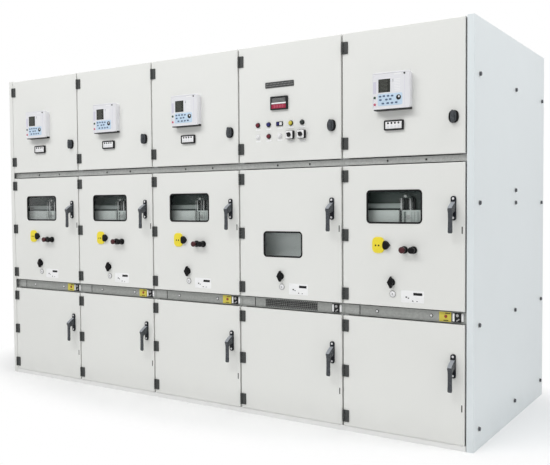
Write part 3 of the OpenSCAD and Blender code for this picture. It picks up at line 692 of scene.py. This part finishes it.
def addLever(shape, b, kind, s):
    x, up = (bayRight(b) - bayLeft(b)) / mm - s["inset"], s["up"][kind]
    at, put = onDoor(b, kind, x, up), placer(shape, b, kind, x, up)
    thick, per, power = s["thick"], s["curveSteps"], s["power"]
    put(0, 0, s["plate"], plate(thick, 2.5), handleDark, 8)
    for side in (-1, 1):
        put(0, side * s["screwUp"], disc(s["screw"]), s["screwProfile"], screwZinc, 6, thick)
    wide = smoothCurve([(w * s["half"],) for w in s["taper"]], per)[:, 0]
    addLoft(shape, at, smoothCurve(s["outer"], per), smoothCurve(s["inner"], per), wide, power, handleGrey)
    cap = smoothCurve(s["outer"][:s["capPoints"]], per)  # painted highlight: a paler strip along the arm's slope, where the overhead lamp's reflection falls
    addLoft(shape, at, cap + s["capOuter"], cap + s["capInner"], np.full(len(cap), s["capHalf"]), power,
            handlePale)
    put(0, s["bossUp"], s["boss"], [(0, -0.3), (0, 2), (1, 3)], handleDark, 6, thick)


def addFittings(shape, b, kind):
    for up in hingeHeights(kind, hinge):
        addHinge(shape, b, kind, up, hinge)
    if kind == "control":
        addKnob(shape, b, knob)
    else:
        addLever(shape, b, kind, lever)


for b in bays:
    for kind in doorKinds:
        makePiece(f"{kind}_fittings_{b}", f"{kind}_leaf_{b}", "fitting_grey", addFittings, b, kind,
                  replaced=f"{kind}_door_fittings_{b}")
print("hinges, knobs and handles ready")


# Protection relays and status modules

flatMark = slab(-0.1, 0.35)  # thin printed mark
relay = {"x": 312, "up": 341, "wide": 212, "tall": 192, "corner": 9, "reach": 46, "rim": 5, "sink": 2.0,
         "step": 6, "bezel": 18, "display": (-37, 26, 68, 70), "lines": 9, "linePitch": 6.8,
         "line": (-5, 27, 48, 2.0), "ragged": (2, 5), "lampX": 12, "lamp": 4.5, "tagX": 36,
         "tag": (32, 3.2, 0.5), "lamps": 8, "greenLamps": 2, "lampTop": 29, "lampPitch": 8.2,
         "keyPad": (-5, -47, 140, 62), "key": (15, 9, 4),
         "keys": ((-56, 18), (-34, 19), (-10, 19), (13, 18), (-54, 0), (-20, 0), (-40, -19), (-12, -19),
                  (12, -19), (36, -18), (2, 1)),
         "screws": ((-92, 83), (-92, -85), (92, -85)), "screw": 6.5, "ribs": 15, "ribPitch": 12, "rib": 5,
         "seat": 12}
relayParts = (  # single parts on the relay's face, from the round front port on
    (44, -39, disc(27), [(0, 0.8), (0, 2.2), (1, 2.8), (4.2, 2.8), (5.2, 1.6), (13, 1.6)], blackPlastic, 8),
    (46, -36, disc(10), [(0, 1.5), (0, 2.2), (1, 2.6)], relayFace, 6),  # cap in the round port
    (-92, -33, disc(13), plate(2.6, 1.0), lensGreen, 5),  # command keys at the left
    (-92, -69, disc(13), plate(2.6, 1.0), lensPink, 5),
    (-92, 19, (17, 62, 2), flatMark, stripLilac, 2),  # strip above them
    (76, 82, disc(10), plate(1.8, 0.6), blackPlastic, 5),
    (38, 82, (40, 5, 0.6), flatMark, whitePlate, 1),
    (78, -8, (1.4, 150, 0.4), flatMark, stripLilac, 1))  # groove at the right, drawn as a flat darker strip: painted shade


def addRelay(shape, b, s):
    t, rim, step, low = s["reach"], s["rim"], s["step"], -s["tall"] / 2
    deep, face = t - s["bezel"], t - s["sink"]
    body = [(step, 0), (step, deep), (0.6, deep + 0.4), (0, deep + 2), (0, t - 4), (0.5, t - 1.8),
            (1.8, t - 0.5), (3.2, t), (rim, t), (rim + 0.8, t - 0.6), (rim + 1.2, face)]
    put = placer(shape, b, "control", s["x"], s["up"], face)
    put(0, 0, (s["wide"], s["tall"], s["corner"]), body, relayGrey, 6, -face)
    dx, dz, dw, dh = s["display"]
    frameProfile = [(0, -0.2), (0, 1.0), (0.6, 1.6), (3.4, 1.6), (4, 0.9), (4, -0.2)]
    put(dx, dz, (dw + 8, dh + 8, 4), frameProfile, relayFace, 4, loop=True)
    put(dx, dz, (dw, dh, 1), slab(-0.2, 0.7), displayDark, 2)
    (x, z, w, h), (shift, shorter) = s["line"], s["ragged"]
    for i in range(s["lines"]):  # faint rows of marks on the display
        size = (w - shorter * (i % 3), h, h / 5)
        put(dx + x + shift * (i % 2), dz + z - s["linePitch"] * i, size, slab(0.6, 0.85), displayLine, 1)
    for i in range(s["lamps"]):  # column of small lamps and their tags beside the display
        z = dz + s["lampTop"] - s["lampPitch"] * i
        colour = lensGreen if i < s["greenLamps"] else lensWhite
        put(s["lampX"], z, disc(s["lamp"]), dome(2.2, 0, 1.2, 3), colour, 3)
        put(s["tagX"], z, s["tag"], flatMark, whitePlate, 1)
    kx, kz, kw, kh = s["keyPad"]
    put(kx, kz, (kw, kh, 8), plate(1.0, 0.4), keyBlue, 5)
    for x, z in s["keys"]:
        put(kx + x, kz + z, s["key"], [(0, 0.8), (0, 1.7), (0.8, 2.5), (2.4, 2.8)], keyDark, 4)
    addParts(put, relayParts)
    for x, z in s["screws"]:  # corner screws of the front
        put(x, z, disc(s["screw"]), dome(3.2, -0.1, 1.0, 3), screwZinc, 3)
    seat = (s["wide"] - s["seat"], s["seat"], 2)  # painted shade: a dark strip that shows along the front's lower edge, standing for the shadow line under it
    put(0, low + 1, seat, [(0, 0), (0, t - 6), (0.6, t - 5)], blackPlastic, 3, -face)
    # plate and ribs under the case are dark: painted shade, where the underside falls in shadow
    foot = s["up"] + low + step
    under, floor = onDoor(b, "control", s["x"], foot, deep / 2), (s["wide"] - 2 * step - 8, deep - 4, 2)
    addStack(shape, "under", under, floor, [(0, -0.5), (0, 0.8), (0.5, 1.2)], ventDark, 3)
    for i in range(s["ribs"]):  # ventilation ribs under the case, black like the plate under them: painted shade on the underside
        rib = onDoor(b, "control", s["x"] + (i - (s["ribs"] - 1) / 2) * s["ribPitch"], foot - 1.2, deep / 2)
        addStack(shape, "under", rib, (s["rib"], deep - 8, 2), [(0, -0.5), (0, 1.4), (0.5, 1.9)],
                 blackPlastic, 3)


status = {"x": 312, "drop": 178, "wide": 110, "tall": 54, "reach": 14, "rim": 8, "sink": 3, "dots": 4,
          "dotX": -31, "dotPitch": 20, "dot": 11, "dotUp": 11, "tag": (13, 11, 1.5), "tagUp": -7}


def addStatus(shape, b, s):  # framed white face with a row of dots over a row of blank tags
    t, rim, face = s["reach"], s["rim"], s["reach"] - s["sink"]
    put = placer(shape, b, "control", s["x"], relay["up"] - s["drop"])
    body = [(0, 0), (0, t - 2), (0.6, t - 0.6), (2, t), (rim - 1, t), (rim, t - 0.8), (rim, face)]
    put(0, 0, (s["wide"], s["tall"], 7), body, blackPlastic, 5)
    inside = (s["wide"] - 2 * rim, s["tall"] - 2 * rim, 3)
    put(0, 0, inside, [(0.2, -0.2), (0.2, 0.6), (0.8, 1.0)], whitePlate, 4, face)
    for i in range(s["dots"]):
        x, colour = s["dotX"] + s["dotPitch"] * i, blackPlastic if i < s["dots"] - 1 else ventDark
        put(x, s["dotUp"], disc(s["dot"]), [(0, -0.2), (0, 0.8), (1.2, 1.6), (4, 1.8)], colour, 5, face + 1)
        put(x, s["tagUp"], s["tag"], slab(-0.1, 0.5), relayGrey, 2, face + 1)


def addRelayFront(shape, b):
    addRelay(shape, b, relay)
    addStatus(shape, b, status)


for b in breakerBays:
    makePiece(f"relay_front_{b}", f"control_leaf_{b}", "relay_grey", addRelayFront, b,
              replaced=f"protection_relay_{b}")
print("relays ready")


# Instruments of the metering bay

metering = {"x": 294, "strip": (444, 195, 33), "marks": 22, "markPitch": 8.3, "mark": (3, 3.4), "markUp": 6,
            "meter": (336, 116, 78), "bandLines": (10, 17, 24),
            "bands": ((17, 26, hingeGrey), (-1, 8, whitePlate), (-19, 24, displayRed)),
            "figures": 4, "figurePitch": 18, "figureUp": -19, "rows": (216, 148), "pitch": 76, "lamp": 30,
            "upperLamps": ((-2, lensRed), (-1, lensBlue), (1, lensYellow), (2, lensBlack)),
            "lowerLamps": ((-2, lensWhite, relayGrey), (-1, lensRed, blackPlastic),
                           (0, lensWhite, relayGrey)),
            "square": ((-10, lensBlue), (10, lensWhite)), "rotaries": (1, 2), "tag": (34, 9, 1),
            "tagDrop": 26, "rotaryTagDrop": 36}
figureBars = ((0, 6.2, 7, 1.8), (0, 0, 7, 1.8), (0, -6.2, 7, 1.8), (-4.2, 3.1, 1.8, 5), (4.2, 3.1, 1.8, 5),
              (-4.2, -3.1, 1.8, 5), (4.2, -3.1, 1.8, 5))  # x, z, width and height of a figure's seven bars


def addIndicator(put, x, up, d, colour, ring=blackPlastic):
    put(x, up, disc(d), [(0, 0), (0, 4.5), (0.8, 6), (2.6, 6), (3.4, 5)], ring, 8)
    put(x, up, disc(d - 6), [(0, 4.5), (0, 10), (0.8, 12), (3, 13.4), (7, 14)], colour, 8)


rotaryParts = (  # square switch with a white front and a slanting handle
    (0, 0, (48, 48, 5), plate(22, 1.5), blackPlastic, 4),
    (0, 0, (44, 44, 4), plate(2.4, 0.6), whitePlate, 4, 21.6),
    (0, 0, disc(27), [(0, 23.5), (0, 28), (1.5, 30)], blackPlastic, 8),
    (0, 0, (10, 28, 4.5), [(0, 28), (0, 34), (1, 35.6), (2.6, 36)], blackPlastic, 5, 0, 45))


def addMetering(shape, b, s):
    put = placer(shape, b, "control", s["x"])
    (up, w, h), (mw, mh) = s["strip"], s["mark"]
    put(0, up, (w, h, 2), [(0, 0), (0, 3.4), (0.6, 4), (2.6, 4), (3, 3.2)], hingeGrey, 3)
    for row in (-1, 1):  # generic engraved marks along the legend strip
        for i in range(s["marks"]):
            x = (i - (s["marks"] - 1) / 2) * s["markPitch"]
            size = (mw + mh * ((i * 7 + row) % 3) / 2, mh, 0.5)
            put(x, up + row * s["markUp"], size, slab(-0.1, 0.4), greyMark, 1, 3.1)
    up, w, h = s["meter"]
    put(0, up, (w, h, 4), [(0, 0), (0, 12), (0.8, 13.6), (2.4, 14), (6.5, 14), (8, 12)], blackPlastic, 4)
    for z, tall, colour in s["bands"]:
        put(0, up + z, (w - 18, tall, 1), slab(0, 0.9), colour, 2, 11.8)
    for z in s["bandLines"]:
        put(0, up + z, (w - 30, 2.2, 0.5), slab(0, 0.35), greyMark, 1, 12.6)
    for i in range(s["figures"]):  # seven-bar figures, each an eight
        x = (i - (s["figures"] - 1) / 2) * s["figurePitch"]
        for dx, dz, bw, bh in figureBars:
            put(x + dx, up + s["figureUp"] + dz, (bw, bh, 0.5), slab(0, 0.4), digitRed, 1, 12.6)
    (top, low), pitch = s["rows"], s["pitch"]
    for x, colour in s["upperLamps"]:
        addIndicator(put, x * pitch, top, s["lamp"], colour)
    for x, colour, ring in s["lowerLamps"]:
        addIndicator(put, x * pitch, low, s["lamp"], colour, ring)
    put(0, top, (44, 26, 3), plate(6, 1), blackPlastic, 3)  # small square unit
    for x, colour in s["square"]:
        put(x, top, (16, 18, 2), plate(3, 1), colour, 3, 5.8)
    for x in s["rotaries"]:
        addParts(placer(shape, b, "control", s["x"] + x * pitch, low), rotaryParts)
    for x in (-2, -1, 0, 1, 2):  # blank name tags under the lamps
        for row in (top, low):
            drop = s["rotaryTagDrop"] if row == low and x in s["rotaries"] else s["tagDrop"]
            put(x * pitch, row - drop, s["tag"], plate(0.9, 0.3), whitePlate, 2)


makePiece("metering_front", f"control_leaf_{meteringBay}", "instrument_dark", addMetering, meteringBay,
          metering, replaced=f"metering_instruments_{meteringBay}")
print("metering instruments ready")


# Window gaskets and the controls below the windows

gasket = {"x": 308, "window": (310, 170, 533), "meteringWindow": (258, 142, 317), "radius": 18, "lip": 5}


def addGasket(shape, b, s):
    w, h, up = s["meteringWindow" if b == meteringBay else "window"]
    lip = s["lip"]
    section = [(0, 0), (0.3, 1.6), (1.6, 2.8), (4, 3.2), (6.5, 2.6), (8.5, 1.2), (9.5, -0.5), (9.5, -2),
               (lip, -2), (lip, 0)]
    size = (w + 2 * lip, h + 2 * lip, s["radius"] + lip)
    placer(shape, b, "breaker")(s["x"], up, size, section, blackRubber, 8, loop=True)


controls = {"keyPlate": (219, 328, 70, 86), "keyCorner": 26, "keyDots": ((-14, -2), (4, -2)), "keyDot": 9,
            "keyKnobX": 50, "keyKnob": ((20, 24, 0), (20, 24, 17), (19, 22.6, 20), (16.5, 19.5, 21.6),
                                        (9, 10, 22)),
            "buttons": (369, 52, 306), "buttonWide": 40, "label": (414, 60, 128, 64),
            "labelBar": (30, 15, 50, 14),
            "labelMarks": ((-34, -3, 9, 7), (-22, -8, 7, 5), (2, -22, 7, 5), (26, -23, 6, 4)),
            "slot": {"breaker": (681, 413), "cable": (681, 189)}, "slotSize": (6, 36, 2)}
doorParts = (  # on every breaker door
    (295, 131, disc(42), plate(8, 2), knobBlack, 9),  # selector
    (295, 131, (34, 34, 4), [(0, 7), (1.2, 21), (2.4, 24.5), (5, 26)], knobBlack, 4, 0, 45, (0.82, 1.46)),
    (302, 69, disc(36), [(0, 0), (0, 3.4), (0.8, 4.4), (2.4, 4.4), (3, 3.2)], greyMark, 9),  # lock
    (302, 69, disc(31), [(0, 2), (0, 3.4), (1, 3.8)], screwZinc, 8),
    (302, 69, disc(17), [(0, 3), (0, 4.6), (1, 5)], screwZinc, 7),
    (302, 69, (2.4, 10, 0.8), slab(-0.2, 0.5), knobBlack, 2, 4.8))


def addButton(put, x, up, d, colour):  # collar, stem and cap
    put(x, up, disc(d), plate(10, 2), knobBlack, 8)
    put(x, up, disc(d - 8), [(0, 9.5), (0, 32), (1, 33)], knobBlack, 8)
    put(x, up, disc(d - 5), [(1, 32), (0, 33.5), (0, 39), (1, 41.5), (4, 43.3), (10, 44)], colour, 8)


def addControls(shape, b, s):
    put = placer(shape, b, "breaker")
    if b != meteringBay:
        x, up, w, h = s["keyPlate"]
        put(x, up, (w, h, s["keyCorner"]), plate(6, 1.5), signYellow, 8)
        dot = [(0, -0.2), (0, 0.8), (1, 1.4), (3.4, 1.4)]
        for dx, dz in s["keyDots"]:
            put(x + dx, up + dz, disc(s["keyDot"]), dot, knobBlack, 5, 6)
        addDrop(shape, onDoor(b, "breaker", x + s["keyKnobX"], up), s["keyKnob"], knobBlack)
        x, pitch, up = s["buttons"]
        for i, colour in enumerate((capRed, knobBlack)):
            addButton(put, x + i * pitch, up, s["buttonWide"], colour)
    addParts(put, doorParts)


def addSlot(shape, b, kind, s):  # small dark slot near the door's right edge
    placer(shape, b, kind)(*s["slot"][kind], s["slotSize"], plate(1.0, 0.3), hingeGrey, 3)


def addDoorPlates(shape, b, s):  # blank white plate with a black bar and a few small marks, and the slot
    x, up, w, h = s["label"]
    put = placer(shape, b, "breaker", x, up)
    put(0, 0, (w, h, 2), plate(1.2, 0.4), whitePlate, 3)
    for dx, dz, bw, bh in (s["labelBar"], *s["labelMarks"]):
        put(dx, dz, (bw, bh, 0.8), slab(0, 0.4), blackPlastic, 2, 1.1)
    addSlot(shape, b, "breaker", s)


for b in bays:
    leaf = f"breaker_leaf_{b}"
    makePiece(f"window_gasket_{b}", leaf, "control_black", addGasket, b, gasket)
    makePiece(f"breaker_controls_{b}", leaf, "control_black", addControls, b, controls,
              replaced=f"breaker_door_controls_{b}")
    makePiece(f"door_plate_{b}", leaf, "relay_grey", addDoorPlates, b, controls)
    makePiece(f"cable_door_slot_{b}", f"cable_leaf_{b}", "fitting_grey", addSlot, b, "cable", controls)
print("windows and door controls ready")


# Rails: screws, sign plates, shaft guards, covers and the grille

rails = {"upper": (262, 480), "lower": (199, 508), "lowerScrew": 14, "upperScrew": 10, "screwHigh": 5,
         "tall": 51, "web": 3, "cover": (6, 86), "joint": 4.4, "slots": (175, 13, 7, 27),
         "wires": (-15, -5, 5, 15), "signX": 584, "sign": (
             (0, 0, (64, 51, 4), plate(4, 0.8), signOchre, 3),
             (4, 2, disc(16), [(0, -0.2), (0, 2.6), (1.5, 3.6), (5, 4)], spotOrange, 7, 4),
             (4, -19, (26, 4, 1.5), slab(-0.2, 0.5), blackPlastic, 2, 4),  # bars under and over the spot
             (14, 18, (26, 4, 1.5), slab(-0.2, 0.5), blackPlastic, 2, 4)),
         "guardX": 645, "guard": (
             (0, 0, (46, 51, 3), plate(6, 0.8), blackPlastic, 3),
             (-15, 0, (10, 42, 3), plate(2.4, 1), whitePlate, 4, 6),
             (5, 10, disc(15), [(0, -0.2), (0, 2), (1, 2.6), (3, 2.6), (4, 1), (7, 1)], steelDull, 6, 6),
             (8, -13, (20, 6, 2.5), plate(2.4, 0.8), steelDull, 3, 6, 35),
             (31, 0, (12, 40, 3), plate(4, 1), whitePlate, 4))}


def addScrew(shape, side, at, d, finish, high):
    profile = [(0, -0.3), (0, high * 0.35), (d * 0.08, high * 0.7), (d * 0.2, high * 0.95), (d * 0.34, high)]
    addStack(shape, side, at, disc(d), profile, finish, 5)


def onRail(b, x, out=0, up=0, railName="lower_rails"):  # point on a rail's web, in mm as onDoor
    low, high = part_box(railName)
    middle = (low[2] + high[2]) / 2
    return np.array((bayLeft(b) + x * mm, high[1] - (rails["web"] + out) * mm, middle + up * mm))


def railPlacer(shape, b, x0):  # as placer, but on the lower rail
    def put(x, up, size, profile, finish, steps, out=0, *more):
        addStack(shape, "front", onRail(b, x0 + x, out, up), size, profile, finish, steps, *more)
    return put


def addInterlocks(shape, s):
    for b in bays:
        for kind in ("guard",) if b == meteringBay else ("sign", "guard"):
            addParts(railPlacer(shape, b, s[kind + "X"]), s[kind])


def addRailScrews(shape, s):
    upper = ("upper_rails", s["upper"], s["upperScrew"], blackPlastic, zincLight)
    lower = ("lower_rails", s["lower"], s["lowerScrew"], screwZinc, blackPlastic)
    for b in bays:
        for railName, xs, wide, head, washer in (upper,) if b == meteringBay else (upper, lower):
            for x in xs:
                at = onRail(b, x, railName=railName)
                addStack(shape, "front", at, disc(wide + 5), [(0, -0.3), (0, 0.8), (1, 1.2), (6, 1.2)],
                         washer, 6)
                addScrew(shape, "front", at, wide, head, s["screwHigh"])


def addRailCovers(shape, s):
    x, w = s["cover"]
    for b in bays:  # cover piece left of each joint, and the dark joint itself
        put = railPlacer(shape, b, x)
        put(w / 2, 0, (w, s["tall"], 1), plate(0.8, 0.3), zincLight, 2)
        put(w + 3, 0, (s["joint"], s["tall"], 0.4), plate(0.5, 0.2), blackRubber, 1)
    first, pitch, slotWide, count = s["slots"]  # grille: dark bars between slots, crossed by thin wires
    put = railPlacer(shape, meteringBay, first)
    middle, wide, between = (count - 1) / 2 * pitch + slotWide / 2, count * pitch + 6, pitch - slotWide
    put(middle, 0, (wide, s["tall"] - 6, 2), plate(1.6, 0.4), blackRubber, 2, -5.4)
    for i in range(count + 1):
        put(i * pitch - between / 2, 0, (between - 0.6, s["tall"], 0.8), plate(1.4, 0.4), ventDark, 2)
    for z in s["wires"]:
        put(middle, z, (wide, 1.6, 0.6), plate(1.2, 0.5), zincRail, 2, 1.2)


makePiece("interlock_fronts", "frame", "sign_yellow", addInterlocks, rails, replaced="interlock_units")
makePiece("rail_screws", "frame", "galvanised", addRailScrews, rails)
makePiece("rail_covers", "frame", "galvanised", addRailCovers, rails)
print("rails ready")


# Bolts of the end panels, rear covers and roof

endBolts = {"columns": (85, 740, 1336), "rows": (105, 640, 1265, 1915), "extra": (740, 1337), "washer": 26,
            "across": 19, "high": 11}
coverBolts = {"edge": 40, "wide": 18, "high": 4, "count": 3, "split": 1.0}
roofBolts = {"edge": 28, "rows": (60, 480, 900, 1320), "wide": 18, "high": 2.6, "flap": 3}


def addEndBolts(shape, s):  # hexagon heads on round washers
    head = [(0, 2), (0, s["high"] - 1.4), (0.8, s["high"] - 0.4), (2.4, s["high"])]
    for side in ("right", "left"):
        low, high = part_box(f"{side}_end_panel")
        x = high[0] if side == "right" else low[0]
        for y, z in [(y, z) for y in s["columns"] for z in s["rows"]] + [s["extra"]]:
            at = (x, doorFront + y * mm, z * mm)
            addStack(shape, side, at, disc(s["washer"]), [(0, -0.3), (0, 1.6), (0.8, 2.2), (4, 2.2)],
                     steelDull, 5)
            addStack(shape, side, at, (s["across"], s["across"], 0), head, boltDark, sides=6)


def bayEdges(s):  # places along the row beside each bay's two edges
    return [x for b in bays for x in (bayLeft(b) + s["edge"] * mm, bayRight(b) - s["edge"] * mm)]


def addCoverBolts(shape, s):
    low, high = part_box("rear_covers")
    for x in bayEdges(s):
        for z0, z1 in ((low[2], s["split"]), (s["split"], high[2])):
            for z in np.linspace(z0 + s["edge"] * mm, z1 - s["edge"] * mm, s["count"]):
                addScrew(shape, "rear", (x, high[1], z), s["wide"], boltDark, s["high"])


def addRoofBolts(shape, s):
    for x in bayEdges(s):
        for y in s["rows"]:
            at = (x, doorFront + y * mm, cadBox[1][2] - s["flap"] * mm)
            addScrew(shape, "top", at, s["wide"], boltDark, s["high"])


makePiece("end_panel_bolts", "frame", "fitting_grey", addEndBolts, endBolts)
makePiece("rear_cover_bolts", "frame", "fitting_grey", addCoverBolts, coverBolts)
makePiece("roof_bolts", "frame", "fitting_grey", addRoofBolts, roofBolts)
print("bolts ready")


# Truck fronts behind the windows

truck = {"top": 514, "back": 120, "front": 52, "foot": 330, "panels": ((70, 246), (332, 268)),
         "strips": ((17, 10, screenDark), (56, 6, truckPaint), (72, 6, truckPaint), (92, 12, truckPaint)),
         "arch": (325, 52), "archBack": 62, "archTall": 66, "archSink": 24, "archBar": 10, "eye": 14,
         "archPlate": (92, 66, 2), "archPlateUp": 34, "socket": (36, 22), "beam": (60, 258, 88, 10, 27),
         "screen": (32, 636, 98, 190), "shield": (350, 586, 30, 520)}


def addTruckFront(shape, b, s):
    put, top, tall = placer(shape, b, "breaker"), s["top"], s["top"] - s["foot"]
    middle, deep, front, back = s["foot"] + tall / 2, s["back"] - s["front"], s["front"], s["back"]
    for x, w in s["panels"]:
        put(x + w / 2, middle, (w, tall, 4), plate(deep, 1.5), truckLight, 4, -back)
    (x, w), second = s["panels"][0], s["panels"][1][0]  # dark seam between the two panels
    seam = (second - x - w + 2, tall - 1, 1)
    put((x + w + second) / 2, middle, seam, plate(deep - 8, 1), blackPlastic, 2, -back)
    for dx, w, colour in s["strips"]:  # guide strips on the right panel
        put(second + dx, middle - 2, (w, tall - 10, 2), plate(3, 1), colour, 3, -front)
    socket, (inset, wide) = [(0, -0.3), (0, 3), (1, 4), (5, 4), (6, 2), (11, 2)], s["socket"]
    put(second + inset, top - inset, disc(wide), socket, steelDull, 8, -front)
    (x, pitch), high, back, bar = s["arch"], s["archTall"], s["archBack"], s["archBar"]
    for i in (0, 1):  # bright uprights of the lifting arch
        foot = onDoor(b, "breaker", x + i * pitch, top, -back)
        addStack(shape, "top", foot, disc(6.4), [(0, -1), (0, high - 3), (1, high)], whitePlate, 6)
    x += pitch / 2
    # top bar of the arch in the dark shade colour, part of the painted shade
    put(x, top + high + 3, (pitch + bar, bar, 4), plate(8, 1.5), screenDark, 4, -back - 4)
    put(x, top + high + 9, disc(s["eye"]), [(0, -0.2), (0, 3), (1.5, 5), (5, 5.6)], whitePlate, 7, 4 - back)
    # dark plate behind the uprights: painted shade, standing for the shaded compartment between them
    put(x, top + s["archPlateUp"], s["archPlate"], plate(3, 1), blackPlastic, 3, -back - s["archSink"])
    x, w, back, low, h = s["beam"]
    put(x + w / 2, top + low + h / 2, (w, h, 3), plate(8, 1), truckPaint, 3, -back)
    x, w, back, h = s["screen"]  # dark screen above the cover: painted shade, a sheet put where the compartment behind the window lies in shade
    put(x + w / 2, top + h / 2, (w, h, 2), plate(3, 0.6), screenDark, 2, -back)


def addTruckFronts(shape, s):
    for b in breakerBays:
        addTruckFront(shape, b, s)
    x, w, low, h = s["shield"]  # plain sheet behind the metering bay's window
    put = placer(shape, meteringBay, "breaker")
    put(x, low + h / 2, (w, h, 4), plate(2, 0.6), shieldPaint, 3, -s["back"])


makePiece("truck_fronts", "frame", "truck_grey", addTruckFronts, truck)
print("truck fronts ready")


# Rubber seals on the inner sides of the doors

seal = {"inset": 14, "corner": 20, "section": ((0, 0), (0.5, 4), (3, 6), (9, 6), (11.5, 4), (12, 0)),
        "sheet": 2}


def addSeal(shape, nodeName, s):
    low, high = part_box(nodeName)
    w, h = ((high[i] - low[i]) / mm - 2 * s["inset"] for i in (0, 2))
    at = ((low[0] + high[0]) / 2, low[1] + s["sheet"] * mm, (low[2] + high[2]) / 2)
    addStack(shape, "rear", at, (w, h, s["corner"]), s["section"], blackRubber, 6, loop=True)


for b in bays:
    for kind in doorKinds:
        makePiece(f"{kind}_seal_{b}", f"{kind}_leaf_{b}", "control_black", addSeal, f"{kind}_door_{b}", seal)
print("door seals ready")


# Pale lip of the base behind the lower edge of the cable doors

baseLip = {"sunk": 2, "thick": 2.5, "clear": 1.2, "corner": 0.4, "edge": 0.3}


def addBaseLip(shape, s):
    low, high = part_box("base_frame")
    left, right = bayLeft(bays[0]), bayRight(bays[-1])
    foot, top = high[2] - mm, doorFoot["cable"] - s["clear"] * mm
    at = ((left + right) / 2, max(low[1], doorFront) + (s["sunk"] + s["thick"]) * mm, (foot + top) / 2)
    size = ((right - left) / mm, (top - foot) / mm, s["corner"])
    addStack(shape, "front", at, size, plate(s["thick"], s["edge"]), basePaint, 2)


makePiece("base_lip", "frame", "enclosure_paint", addBaseLip, baseLip)
print("base lip ready")
